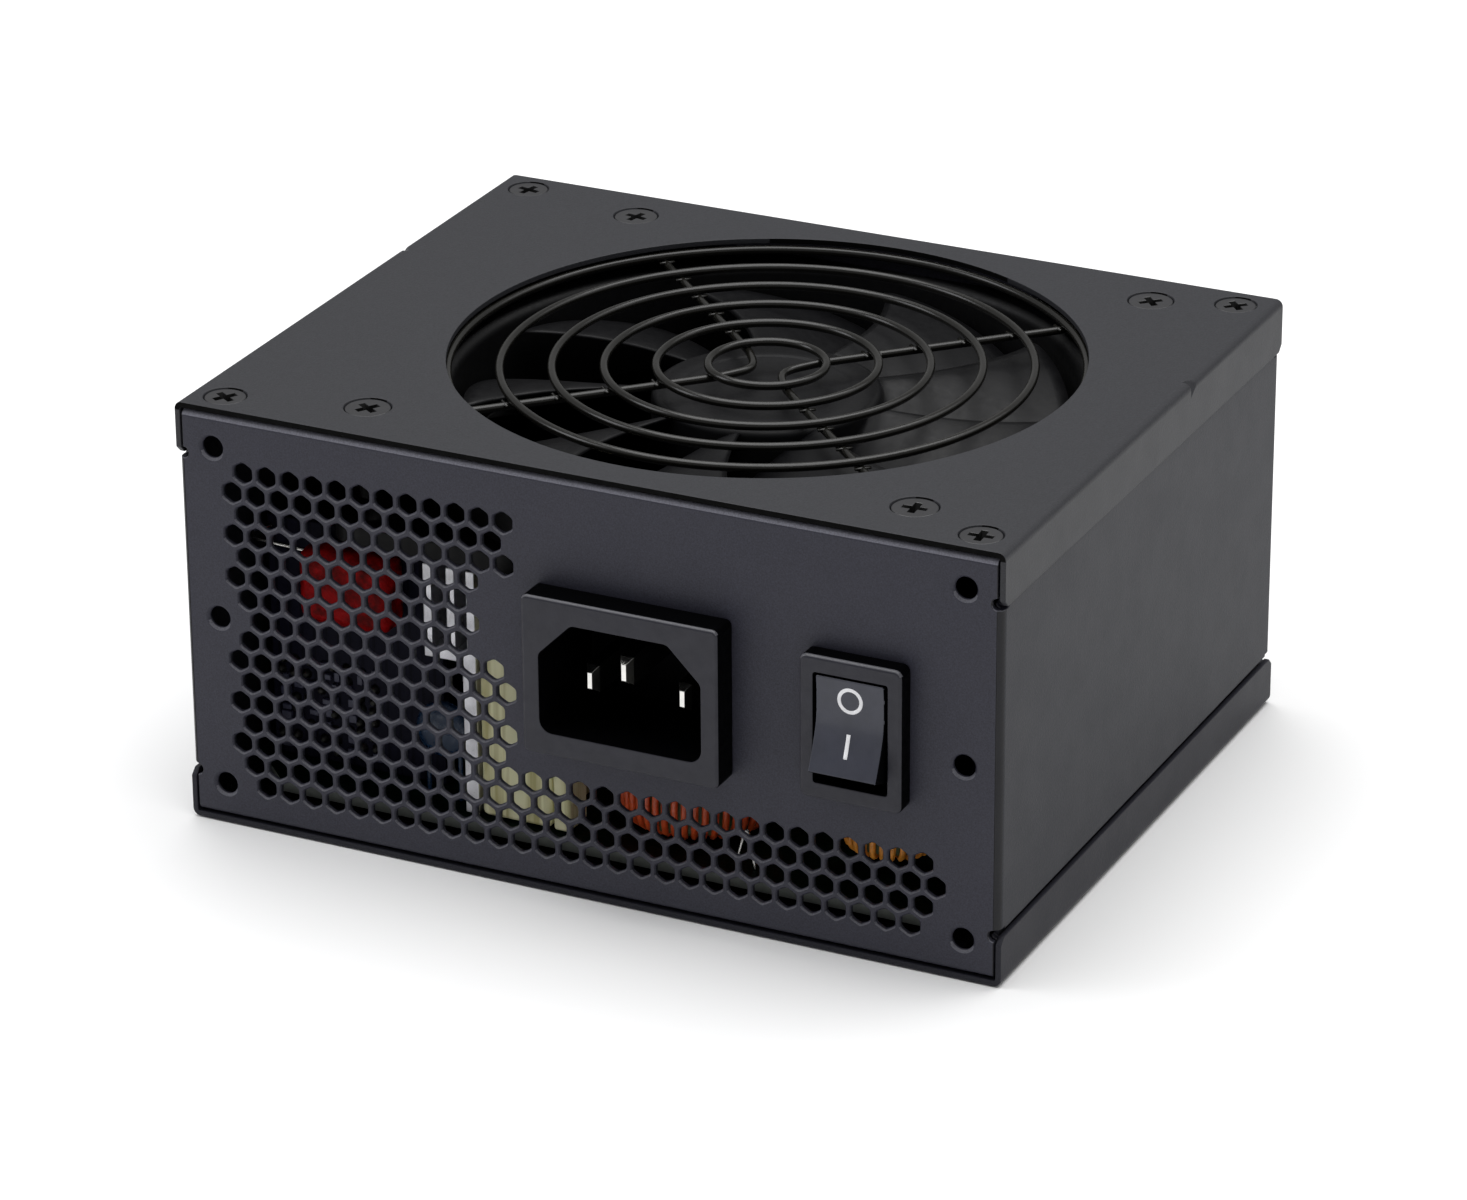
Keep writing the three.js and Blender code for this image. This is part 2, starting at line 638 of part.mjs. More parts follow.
// Outline of the plug space: a rectangle whose two upper corners are cut off.
function inletOutline() {
  const x = INLET_CAVITY.width / 2;
  const z = INLET_CAVITY.height / 2;
  const cut = INLET_CAVITY.chamfer;
  return shapeOf([[-x, -z], [x, -z], [x, z - cut], [x - cut, z], [-x + cut, z], [-x, z - cut]]);
}

function inletPin(recess) {
  const tip = -INLET_FLANGE.depth + recess;
  const back = INLET_BODY.depth + PIN.tail;
  const half = PIN.height / 2;
  const outline = shapeOf([
    [tip, -half + 0.8], [tip + 0.8, -half], [back, -half],
    [back, half], [tip + 0.8, half], [tip, half - 0.8],
  ]);
  return extrudeAlongX(outline, -PIN.width / 2, PIN.width / 2);
}

function makeInletHousing(places) {
  const flange = centredBlock(INLET_FLANGE.width, INLET_FLANGE.height, -INLET_FLANGE.depth, -SEAT);
  const body = centredBlock(INLET_BODY.width, INLET_BODY.height, -1, INLET_BODY.depth);
  const clips = [-1, 1].map((side) => {
    const x = side * INLET_BODY.width / 2;
    return block(x - 0.8, x + 0.8, SHEET + 0.1, SHEET + 3, -4, 4);
  });
  const cavity = extrudeAlongY(inletOutline(), -INLET_FLANGE.depth - 1, INLET_BODY.depth - INLET_BACK);
  const slots = places.map(([x, z]) => block(
    x - PIN.width / 2 - GAP, x + PIN.width / 2 + GAP, 0, INLET_BODY.depth + 1,
    z - PIN.height / 2 - GAP, z + PIN.height / 2 + GAP,
  ));
  return cutBy(joined([flange, body, ...clips]), [cavity, ...slots]);
}

function addInlet(parent) {
  const inlet = addGroup(parent, INLET_X, REAR, INLET_Z);
  const places = [[-PIN_SPACING, LIVE_PIN_Z], [PIN_SPACING, LIVE_PIN_Z], [0, EARTH_PIN_Z]];
  addPiece(inlet, 'inlet_housing', makeInletHousing(places), 0x2b2b30, 0.5, 0);
  const names = ['inlet_pin_line', 'inlet_pin_neutral', 'inlet_pin_earth'];
  const recesses = [LIVE_PIN_RECESS, LIVE_PIN_RECESS, EARTH_PIN_RECESS];
  names.forEach((name, i) => {
    const pin = addPiece(inlet, name, inletPin(recesses[i]), 0xc8c8ca, 0.25, 1);
    pin.position.set(places[i][0], 0, places[i][1]);
  });
}

function makeSwitchHousing() {
  const flange = centredBlock(SWITCH_FLANGE.width, SWITCH_FLANGE.height, -SWITCH_FLANGE.depth, -SEAT);
  const body = centredBlock(SWITCH_BODY.width, SWITCH_BODY.height, -1, SWITCH_BODY.depth);
  const windowEnd = SWITCH_WINDOW.depth - SWITCH_FLANGE.depth;
  const windowStart = -SWITCH_FLANGE.depth - 1;
  const window = centredBlock(SWITCH_WINDOW.width, SWITCH_WINDOW.height, windowStart, windowEnd);
  const pivotHole = new THREE.CylinderGeometry(PIVOT_RADIUS + 0.35, PIVOT_RADIUS + 0.35, 11.9, 12);
  pivotHole.rotateZ(Math.PI / 2);
  pivotHole.translate(0, PIVOT_INSET - SWITCH_FLANGE.depth, 0);
  const slots = TERMINAL_PLACES
    .map((z) => block(-0.7, 0.7, windowEnd - 1, SWITCH_BODY.depth + 1, z - 2.7, z + 2.7));
  return cutBy(joined([flange, body]), [window, solidFrom(pivotHole), ...slots]);
}

// The rocker about its pivot at the origin, level: a shallow V in front, a stub axle through it.
function makeRocker() {
  const front = [[-6.5, 6.7], [-6, 4.4], [-5.3, 1.2], [-5.2, 0], [-5.3, -1.2], [-6, -4.4], [-6.5, -6.7]];
  const back = [[0, -7.6], [1.8, -5.5], [2.4, 0], [1.8, 5.5], [0, 7.6]];
  const body = extrudeAlongX(shapeOf([...front, ...back]), -ROCKER_WIDTH / 2, ROCKER_WIDTH / 2);
  const axle = new THREE.CylinderGeometry(PIVOT_RADIUS, PIVOT_RADIUS, 11.4, 12);
  axle.rotateZ(Math.PI / 2);
  return body.add(solidFrom(axle));
}

function addSwitch(parent) {
  const mains = addGroup(parent, SWITCH_X, REAR, SWITCH_Z);
  addPiece(mains, 'switch_housing', makeSwitchHousing(), 0x2b2b2f, 0.5, 0);
  const rocker = addPiece(mains, 'rocker', makeRocker(), 0x303036, 0.45, 0);
  rocker.position.y = PIVOT_INSET - SWITCH_FLANGE.depth;
  rocker.rotation.x = radians(-ROCKER_TILT);
  TERMINAL_PLACES.forEach((z, i) => {
    const inner = SWITCH_WINDOW.depth - SWITCH_FLANGE.depth - 0.3;
    const blade = block(-0.4, 0.4, inner, SWITCH_BODY.depth + 8, z - 2.4, z + 2.4);
    addPiece(mains, `switch_terminal_${i + 1}`, blade, 0xc8c8ca, 0.3, 1);
  });
}

// ---------------------------------------------------------------- circuit boards and components

function makeInsulation() {
  const sheet = block(-55, 55, -43.5, 43, 2.2, 2.6);
  return cutBy(sheet, corners(BOSS_X, BOSS_Y).map(([x, y]) => rod(4.4, 4.4, 0, 5, x, y, 8)));
}

// A pair of E-shaped ferrites, standing on z = 0, with its middle leg upright.
function ferrite(width, depth, height, leg, yoke) {
  const side = leg / 2;
  const window = (width - leg - 2 * side) / 2;
  const core = block(-width / 2, width / 2, -depth / 2, depth / 2, 0, height);
  const windows = [-1, 1].map((direction) => {
    const x = direction * (leg / 2 + window / 2);
    return block(x - window / 2, x + window / 2, -depth, depth, yoke, height - yoke);
  });
  return cutBy(core, windows);
}

// The coil that fills the windows of such a pair.
function coil(width, depth, height, leg, yoke) {
  const reach = width / 2 - leg / 2 - GAP;
  const overhang = depth / 2 + (width - 2 * leg) / 4;
  const outline = shapeOf([
    [-reach, -overhang + 2], [-reach + 2, -overhang], [reach - 2, -overhang], [reach, -overhang + 2],
    [reach, overhang - 2], [reach - 2, overhang], [-reach + 2, overhang], [-reach, overhang - 2],
  ]);
  const hole = block(-leg / 2 - GAP, leg / 2 + GAP, -depth / 2 - GAP, depth / 2 + GAP, 0, height);
  return extrudeAlongZ(outline, yoke + GAP, height - yoke - GAP).subtract(hole);
}

// A flat ring core and the winding round it, open over one sector.
function ringCore(inner, outer, low, high) {
  return tube(inner, outer, low, high, 0, 0, 20);
}

function ringWinding(inner, outer, low, high, wire) {
  const soft = wire * 0.7;
  const [r0, r1, z0, z1] = [inner - wire, outer + wire, low - wire, high + wire];
  const fat = turned([
    [r0 + soft, z0], [r1 - soft, z0], [r1, z0 + soft], [r1, z1 - soft],
    [r1 - soft, z1], [r0 + soft, z1], [r0, z1 - soft], [r0, z0 + soft], [r0 + soft, z0],
  ], 20);
  const space = tube(inner - GAP, outer + GAP, low - GAP, high + GAP, 0, 0, 20);
  const sector = block(-2.5, 2.5, 0, outer * 2, low - 10, high + 10);
  return cutBy(fat, [space, sector]);
}

function addChoke(parent, name, x, y, z, outer, height, color) {
  const choke = addGroup(parent, x, y, z);
  const inner = outer * 0.5;
  const wire = 1.3;
  addPiece(choke, `${name}_core`, ringCore(inner, outer, wire, wire + height), 0x3d4a2c, 0.6, 0);
  addPiece(choke, `${name}_winding`, ringWinding(inner, outer, wire, wire + height, wire), color, 0.3, 0.8);
}

// An upright can capacitor with a groove near its foot.
function canCapacitor(radius, height) {
  return turned([
    [0, 0], [radius, 0], [radius, 1.4], [radius - 0.6, 2.2], [radius, 3], [radius, height], [0, height],
  ], 14);
}

function discCapacitor() {
  const legs = [-2.5, 2.5].map((x) => block(x - 0.35, x + 0.35, -0.35, 0.35, 0, 8));
  return joined([rodAlongY(4.2, -1.5, 1.5, 0, 10.6, 14), ...legs]);
}

// The heat sink beside the tall capacitor: a web, a shelf and three fins.
function makePrimaryHeatsink() {
  const [back, front] = [-45.3, -20];
  const web = block(-20.9, -18.8, back, front, FOOT, 31);
  const shelf = block(-26.8, -18.8, back, front, 29.8, 31.6);
  const fins = [[-26.8, -25.5], [-23.2, -21.9], [-20.1, -18.8]]
    .map(([x0, x1]) => block(x0, x1, back, front, 30.5, 43.8));
  return joined([web, shelf, ...fins]);
}

function makeSecondaryHeatsink() {
  const parts = [block(28, 30, -8, 34, FOOT, 42.5)];
  for (let fin = 0; fin < 7; fin += 1) {
    const y = -7 + fin * 6.5;
    parts.push(block(29.5, 34, y, y + 1.4, 26, 42.5));
  }
  return joined(parts);
}

function addElectronics(parent) {
  const board = block(-BOARD.x, BOARD.x, BOARD.back, BOARD.front, BOARD.low, BOARD.high);
  addPiece(parent, 'main_board', board, 0x2f4a33, 0.5, 0);
  addPiece(parent, 'insulation_sheet', makeInsulation(), 0x18181a, 0.6, 0);
  const tallCase = block(-18.4, -7.6, -45.3, -19, FOOT, 31.9);
  const lowCase = block(-7.2, -4.6, -45.3, -39.8, FOOT, 16.6);
  addPiece(parent, 'filter_capacitor_large', tallCase, 0xc8c68a, 0.45, 0);
  addPiece(parent, 'filter_capacitor_small', lowCase, 0xc8c68a, 0.45, 0);
  addPiece(parent, 'primary_heatsink', makePrimaryHeatsink(), 0xd0d0d6, 0.35, 0.8);
  addPiece(parent, 'daughter_board', block(-55, -27.5, -38.8, -37.2, FOOT, 43.6), 0x23242c, 0.5, 0);
  addPiece(parent, 'film_capacitor', block(-47, -32.6, -45.4, -39.1, 31, 42.4), 0x8c1414, 0.35, 0);
  const disc = addPiece(parent, 'disc_capacitor', discCapacitor(), 0x3a5a8c, 0.4, 0);
  disc.position.set(-25.7, -42.3, FOOT);
  addChoke(parent, 'filter_choke', 8.8, -31.2, FOOT, 11, 9, 0xa8441e);
  addChoke(parent, 'switch_choke', 40.5, -36.4, FOOT + 3.6, 6.2, 5.6, 0xc8641e);
  const bulk = addPiece(parent, 'bulk_capacitor', canCapacitor(11, 44), 0x24242a, 0.4, 0);
  bulk.position.set(-45.5, -36.6, 18.2);
  bulk.rotation.x = -Math.PI / 2;
  const inductor = addGroup(parent, -44, 26, FOOT);
  addPiece(inductor, 'boost_inductor_core', ferrite(24, 12, 26, 7, 4), 0x2a2a2c, 0.6, 0);
  addPiece(inductor, 'boost_inductor_coil', coil(24, 12, 26, 7, 4), 0xb87333, 0.4, 0.5);
  const transformer = addGroup(parent, 6, 10, FOOT);
  addPiece(transformer, 'transformer_core', ferrite(34, 16, 32, 10, 5), 0x2a2a2c, 0.6, 0);
  addPiece(transformer, 'transformer_coil', coil(34, 16, 32, 10, 5), 0xd8c24a, 0.5, 0);
  addPiece(parent, 'secondary_heatsink', makeSecondaryHeatsink(), 0x2c2c30, 0.5, 0.6);
  for (let i = 0; i < 3; i += 1) {
    const can = addPiece(parent, `output_capacitor_${i + 1}`, canCapacitor(5, 24), 0x2b2b36, 0.35, 0.3);
    can.position.set(44, -6 + i * 15, FOOT);
  }
}

function socketWidth(columns) {
  return columns * SOCKET_COLUMN + 2 * SOCKET_WALL;
}

function makeSocket(columns) {
  const half = socketWidth(columns) / 2;
  const tall = SOCKET_HEIGHT / 2;
  const body = block(-half, half, SOCKET_BACK, SOCKET_FRONT, -tall, tall);
  const inner = half - SOCKET_WALL;
  const bottom = SOCKET_FRONT - SOCKET_CAVITY;
  return body.subtract(block(-inner, inner, bottom, FRONT + 1, -tall + SOCKET_WALL, tall - SOCKET_WALL));
}

function addOutputs(parent) {
  const board = block(-52, 52, SOCKET_BACK - 1.9, SOCKET_BACK - GAP, FOOT + 0.2, 43.8);
  addPiece(parent, 'output_board', board, 0x2f4a33, 0.5, 0);
  for (const [name, x, z, columns] of SOCKETS) {
    const socket = addPiece(parent, name, makeSocket(columns), 0x1a1a1c, 0.45, 0);
    socket.position.set(x, 0, z);
  }
}

// ---------------------------------------------------------------- the whole object

const powerSupply = new THREE.Group();
addHousing(powerSupply);
addFan(powerSupply);
addInlet(powerSupply);
addSwitch(powerSupply);
addElectronics(powerSupply);
addOutputs(powerSupply);

export default powerSupply;
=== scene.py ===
import json
import math
import random
from itertools import combinations

import bmesh
import bpy
from mathutils import Matrix, Vector


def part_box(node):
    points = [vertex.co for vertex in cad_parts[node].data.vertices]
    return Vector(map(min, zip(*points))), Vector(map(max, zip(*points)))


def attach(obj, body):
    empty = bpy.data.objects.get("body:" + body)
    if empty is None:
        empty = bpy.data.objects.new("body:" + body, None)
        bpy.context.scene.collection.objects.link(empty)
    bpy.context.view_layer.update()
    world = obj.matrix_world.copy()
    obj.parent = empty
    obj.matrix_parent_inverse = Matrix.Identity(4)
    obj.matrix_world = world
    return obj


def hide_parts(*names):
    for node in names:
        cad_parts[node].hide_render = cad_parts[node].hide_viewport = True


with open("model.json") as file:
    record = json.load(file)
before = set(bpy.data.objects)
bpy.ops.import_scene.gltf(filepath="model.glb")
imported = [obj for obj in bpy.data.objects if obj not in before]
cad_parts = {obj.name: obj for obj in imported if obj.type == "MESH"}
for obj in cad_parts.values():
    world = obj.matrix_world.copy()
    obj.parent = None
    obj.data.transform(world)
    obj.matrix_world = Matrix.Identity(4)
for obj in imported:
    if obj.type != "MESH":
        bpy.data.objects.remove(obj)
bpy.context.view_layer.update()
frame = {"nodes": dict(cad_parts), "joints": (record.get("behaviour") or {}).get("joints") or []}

# Shapes below are worked out in millimetres and scaled to metres when a piece is made.
MM = 0.001

# Edges that turn by more than this are rounded, in degrees
SHARP_ANGLE = 38

# Sheet metal
SHEET = 0.8
COVER_BEND = 1.1
PANEL_BEND = 0.95
CORNER_BEND = 1.25
UPRIGHT_BENDS = 60
TAB_DEPTH = 9
FLANGE_CHAMFER = 1.0
RETURN_FLANGE = 10
LAP_INSET = 0.8
RELIEF_RADIUS = 0.85
RELIEF_BITE = 0.3
GUSSET_Y = 17
SHEET_EDGE = 0.11

# Holes of the rear panel, and the housings in its two windows
MOUNT_X = 56.8
MOUNT_LOW = 6
MOUNT_STEP = 25.75
MOUNT_RADIUS = 1.6
MOUNT_DIMPLE = 2.0
MOUNT_DIMPLE_DEPTH = 0.35
VENT_PITCH = 3.68
VENT_FLAT = 2.86
VENT_CORNER = 0.7
VENT_MOUTH = 0.24
VENT_LEFT = -53.9
VENT_TOP = 54.4
VENT_ROWS = [
    (1, 12), (0, 12), (1, 12), (0, 11), (1, 10), (0, 11), (1, 10), (2, 11),
    (1, 12), (0, 12), (1, 12), (0, 12), (1, 29), (0, 30), (1, 29), (2, 28),
]

WINDOW_GAP = 0.3
INLET_HALF_X = 13.4
SWITCH_HALF_X = 6.2
HOUSING_HALF_Z = 9.3
ROCKER_HALF_X = 5
ROCKER_HALF_Z = 6.7
PINS = ["inlet_pin_line", "inlet_pin_neutral", "inlet_pin_earth"]

# Connector panel
SOCKETS = [
    "socket_mainboard_long", "socket_mainboard_short", "socket_processor", "socket_graphics",
    "socket_drives_1", "socket_drives_2",
]
SOCKET_PITCH = 4.2
SOCKET_WALL = 0.9
SLOT_COUNT = 13
SLOT_PITCH = 7

# Fan and guard, in the fan's own frame: its axis is Z
OPENING_RADIUS = 45.1
FAN_BORE = 44.3
FAN_HOLE_OFFSET = 41.25
HUB_RADIUS = 16.4
BLADE_COUNT = 9
BLADE_TIP = 42.8
BLADE_WIDTH = 38
BLADE_SWEEP = 10
BLADE_START = 23
BLADE_THICKNESS = 1.1
WIRE = 0.62
RING_COUNT = 6
FIRST_RING = 8.33
RING_STEP = 7.33
RING_Z = 61.8
SPOKE_Z = 60.8
SPOKE_TURN = 2.6
GUARD_RADIUS = FIRST_RING + (RING_COUNT - 1) * RING_STEP + WIRE


# ---- places from the frame

def box(node):
    """Lowest and highest corner of a CAD node, in millimetres."""
    low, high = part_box(node)
    return Vector(low) / MM, Vector(high) / MM


def middle(node):
    low, high = box(node)
    return (low + high) / 2


def pivot(joint):
    """The place of a joint's axis, in millimetres."""
    return Vector(next(j["pos_m"] for j in frame["joints"] if j["name"] == joint)) / MM


FAN_AXIS = pivot("fan_spin")
ROCKER_PIVOT = pivot("rocker_tilt")
ROCKER_TILT = 11


# ---- outlines

def rounded(points, radius, steps=5):
    """A closed outline whose corners are arcs. The radius is one value or one for each corner."""
    count = len(points)
    radii = radius if isinstance(radius, (list, tuple)) else [radius] * count
    outline = []
    for i, (point, r) in enumerate(zip(points, radii)):
        corner = Vector(point)
        back = (Vector(points[i - 1]) - corner).normalized()
        ahead = (Vector(points[(i + 1) % count]) - corner).normalized()
        outline += [tuple(p) for p, _ in arc(corner, back, ahead, r, steps)]
    return outline


def arc(corner, back, ahead, radius, steps):
    """Points of a rounded corner, each with its direction towards the arc's centre."""
    if radius <= 0:
        return [(corner, (back + ahead).normalized())]
    half = back.angle(ahead) / 2
    centre = corner + (back + ahead).normalized() * radius / math.sin(half)
    start = corner + back * radius / math.tan(half) - centre
    end = corner + ahead * radius / math.tan(half) - centre
    turn = start.angle_signed(end)
    found = []
    for step in range(steps + 1):
        spoke = start.copy()
        spoke.rotate(Matrix.Rotation(-turn * step / steps, 2))
        found.append((centre + spoke, -spoke / radius))
    return found


def bent_outline(path, radius, thickness, steps=6):
    """The outline of a bent sheet. The path is its outer face, and every bend turns the same way."""
    samples = []
    points = [Vector(p) for p in path]
    for before, corner, after in zip(points, points[1:], points[2:]):
        back = (before - corner).normalized()
        samples += arc(corner, back, (after - corner).normalized(), radius, steps)
    samples.insert(0, (points[0], samples[0][1]))
    samples.append((points[-1], samples[-1][1]))
    outer = [tuple(p) for p, _ in samples]
    inner = [tuple(p + n * thickness) for p, n in samples]
    return outer + inner[::-1]


def rectangle(x0, x1, y0, y1):
    return [(x0, y0), (x1, y0), (x1, y1), (x0, y1)]


def polygon(radius, sides, x=0.0, y=0.0, start=0.0):
    turns = [start + 2 * math.pi * i / sides for i in range(sides)]
    return [(x + radius * math.cos(t), y + radius * math.sin(t)) for t in turns]


def square(half, x=0.0, y=0.0):
    return rectangle(x - half, x + half, y - half, y + half)


# ---- solids

def along(axis, a, b, c):
    """A point from two outline values and the value along the axis."""
    return {"X": (c, a, b), "Y": (a, c, b), "Z": (a, b, c)}[axis]


def skin(bm, rings, closed=False):
    """Faces between rings of vertices. The last joins the first again, or both ends are capped."""
    new = []
    if not closed:
        new += [bm.faces.new(ring) for ring in (rings[0], rings[-1]) if ring[0] is not ring[1]]
    for low, high in zip(rings, rings[1:] + (rings[:1] if closed else [])):
        for i in range(len(low)):
            j = (i + 1) % len(low)
            corners = dict.fromkeys((low[i], low[j], high[j], high[i]))
            if len(corners) > 2:
                new.append(bm.faces.new(corners))
    bmesh.ops.recalc_face_normals(bm, faces=new)
    return bm


def loft(outlines, axis, levels, bm=None):
    """A solid through outlines drawn across an axis at several levels along it."""
    bm = bm or bmesh.new()
    rings = [[bm.verts.new(along(axis, a, b, c)) for a, b in points] for points, c in zip(outlines, levels)]
    return skin(bm, rings)


def prism(points, axis, low, high, bm=None):
    """An outline drawn across an axis and extruded along it."""
    return loft([points, points], axis, [low, high], bm)


def block(low, high, bm=None):
    return prism(rectangle(low[0], high[0], low[1], high[1]), "Z", low[2], high[2], bm)


def cone(axis, radii, low, high, centre=(0, 0), sides=32, bm=None):
    """A cone along an axis, with a radius for its low and its high end, or one for a cylinder."""
    ends = radii if isinstance(radii, tuple) else (radii, radii)
    circles = [polygon(radius, sides, centre[0], centre[1]) for radius in ends]
    return loft(circles, axis, [low, high], bm)


def lathe(profile, sides=48):
    """Turns a profile of (radius, z) points round Z. It starts and ends on the axis, or closes itself."""
    bm = bmesh.new()
    rings = []
    for radius, z in profile:
        if radius:
            rings.append([bm.verts.new((x, y, z)) for x, y in polygon(radius, sides)])
        else:
            rings.append([bm.verts.new((0, 0, z))] * sides)
    return skin(bm, rings, closed=profile[0][0] > 0)


def sweep(path, radius, sides=12, closed=False, bm=None, normal=None):
    """A round wire along a path of points. A pair of radii, along and across the normal, makes it flat."""
    bm = bm or bmesh.new()
    points = [Vector(p) for p in path]
    count = len(points)
    wide, tall = radius if isinstance(radius, tuple) else (radius, radius)
    rings = []
    for i, point in enumerate(points):
        ahead = points[(i + 1) % count] if closed or i < count - 1 else point
        behind = points[i - 1] if closed or i > 0 else point
        tangent = (ahead - behind).normalized()
        if normal is None:
            guess = Vector((0, 0, 1)) if abs(tangent.z) < 0.9 else Vector((1, 0, 0))
            normal = tangent.cross(guess).normalized()
        normal = (normal - tangent * normal.dot(tangent)).normalized()
        side = tangent.cross(normal)
        section = [normal * a * wide + side * b * tall for a, b in polygon(1, sides)]
        rings.append([bm.verts.new(point + offset) for offset in section])
    return skin(bm, rings, closed)


def soften(bm, edges, radius, segments=3, clamp=False):
    """Rounds some edges of a solid."""
    bmesh.ops.bevel(
        bm, geom=edges, offset=radius, segments=segments, profile=0.5, affect="EDGES", clamp_overlap=clamp,
    )
    return bm


def moved(bm, x=0.0, y=0.0, z=0.0):
    bmesh.ops.translate(bm, verts=bm.verts, vec=(x, y, z))
    return bm


def turned(bm, degrees, axis):
    turn = Matrix.Rotation(math.radians(degrees), 3, axis)
    bmesh.ops.rotate(bm, verts=bm.verts, matrix=turn)
    return bm


def divide(bm, point, normal):
    """Cuts the faces of a solid along a plane, and keeps both halves."""
    everything = bm.verts[:] + bm.edges[:] + bm.faces[:]
    bmesh.ops.bisect_plane(bm, geom=everything, plane_co=point, plane_no=normal)


def merged(*parts):
    """Puts several solids in one mesh, without joining their faces."""
    whole = bmesh.new()
    for part in parts:
        mesh = bpy.data.meshes.new("part")
        part.to_mesh(mesh)
        part.free()
        whole.from_mesh(mesh)
        bpy.data.meshes.remove(mesh)
    return whole


def linked(name, data):
    """A new object in the scene."""
    made = bpy.data.objects.new(name, data)
    bpy.context.scene.collection.objects.link(made)
    return made


def solid_object(name, bm):
    mesh = bpy.data.meshes.new(name)
    bm.to_mesh(mesh)
    bm.free()
    return linked(name, mesh)


def combined(bm, tool, operation):
    """A boolean of two solids. The result's flat faces are merged again."""
    base, other = solid_object("base", bm), solid_object("tool", tool)
    modifier = base.modifiers.new("boolean", "BOOLEAN")
    modifier.operation = operation
    modifier.object = other
    modifier.solver = "MANIFOLD"
    shown = base.evaluated_get(bpy.context.evaluated_depsgraph_get())
    result = bmesh.new()
    result.from_mesh(shown.to_mesh())
    shown.to_mesh_clear()
    for made in (base, other):
        mesh = made.data
        bpy.data.objects.remove(made)
        bpy.data.meshes.remove(mesh)
    bmesh.ops.remove_doubles(result, verts=result.verts, dist=1e-4)
    bmesh.ops.dissolve_limit(
        result, angle_limit=math.radians(0.5), verts=result.verts, edges=result.edges,
    )
    # The panel round the vents has too many corners to stay one face
    pierced = [face for face in result.faces if len(face.verts) > 1000]
    bmesh.ops.triangulate(result, faces=pierced, ngon_method="EAR_CLIP")
    return result


def cut(bm, *tools):
    for tool in tools:
        bm = combined(bm, tool, "DIFFERENCE")
    return bm


def joined(bm, *others):
    for other in others:
        bm = combined(bm, other, "UNION")
    return bm


# ---- pieces


def add_piece(name, bm, materials, replaces=None, body="chassis", edge=0.0, steps=2,
              crisp=False):
    """Makes a piece of the object from a solid, rounds its sharp edges and fastens it to its body.
    """
    bmesh.ops.scale(bm, vec=(MM, MM, MM), verts=bm.verts)
    piece = solid_object(name, bm)
    materials = materials if isinstance(materials, list) else [materials]
    for material in materials:
        piece.data.materials.append(material)
    if edge:
        bevel = piece.modifiers.new("edges", "BEVEL")
        bevel.width = edge * MM
        bevel.segments = steps
        bevel.limit_method = "ANGLE"
        bevel.angle_limit = math.radians(SHARP_ANGLE)
        bevel.use_clamp_overlap = False
    # Faces square to the axes stay flat where edges are rounded, so holes leave no shading on them
    for face in piece.data.polygons:
        is_square = max(abs(part) for part in face.normal) > 0.9999
        face.use_smooth = not (is_square and (edge or crisp))
    normals = piece.modifiers.new("normals", "WEIGHTED_NORMAL")
    normals.mode = "FACE_AREA"
    normals.keep_sharp = True
    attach(piece, body)
    if replaces:
        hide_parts(replaces)


def dress(node, material):
    """Gives a CAD node that stays its finish."""
    part = frame["nodes"][node]
    part.data.materials.clear()
    part.data.materials.append(material)


# ---- materials

class Surface:
    """A Principled material with helpers for procedural detail in object space."""

    def __init__(self, name, colour, roughness, metallic=0.0, specular=0.5):
        self.material = bpy.data.materials.new(name)
        self.material.use_nodes = True
        self.tree = self.material.node_tree
        self.shader = self.tree.nodes["Principled BSDF"]
        self.colour = colour
        self.place = self.tree.nodes.new("ShaderNodeTexCoord").outputs["Object"]
        self.set(self.shader, {
            "Base Color": (*colour, 1), "Roughness": roughness, "Metallic": metallic,
            "Specular IOR Level": specular,
        })

    def set(self, node, values):
        for socket, value in values.items():
            node.inputs[socket].default_value = value

    def node(self, kind, values):
        made = self.tree.nodes.new("ShaderNode" + kind)
        self.set(made, values)
        return made

    def link(self, output, node, socket):
        self.tree.links.new(output, node.inputs[socket])

    def noise(self, size, detail=3.0, stretch=None):
        """Noise whose features are about this many millimetres across."""
        noise = self.node("TexNoise", {"Scale": 1 / (size * MM), "Detail": detail, "Roughness": 0.6})
        place = self.place
        if stretch:
            mapping = self.node("Mapping", {"Scale": stretch})
            self.link(place, mapping, "Vector")
            place = mapping.outputs["Vector"]
        self.link(place, noise, "Vector")
        return noise.outputs["Fac"]

    def mapped(self, value, low, high):
        """Spreads a noise value, which lies mostly from 0.3 to 0.7, between two numbers."""
        spread = self.node("MapRange", {"From Min": 0.3, "From Max": 0.7, "To Min": low, "To Max": high})
        self.link(value, spread, "Value")
        return spread.outputs["Result"]

    def tint(self, value, other, colour=None, spread=(0, 1)):
        """Mixes the base colour with another where the value is high. The spread is None for no mapping."""
        if spread:
            value = self.mapped(value, *spread)
        mix = self.tree.nodes.new("ShaderNodeMix")
        mix.data_type = "RGBA"
        self.set(mix, {6: (*(colour or self.colour), 1), 7: (*other, 1)})
        self.link(value, mix, 0)
        self.link(mix.outputs[2], self.shader, "Base Color")

    def roughen(self, value, low, high):
        self.link(self.mapped(value, low, high), self.shader, "Roughness")

    def bump(self, value, height):
        """Raises the surface by up to this many millimetres."""
        bump = self.node("Bump", {"Distance": height * MM, "Strength": 1.0})
        self.link(value, bump, "Height")
        self.link(bump.outputs["Normal"], self.shader, "Normal")


def shade(colour, factor):
    return tuple(min(1.0, c * factor) for c in colour)


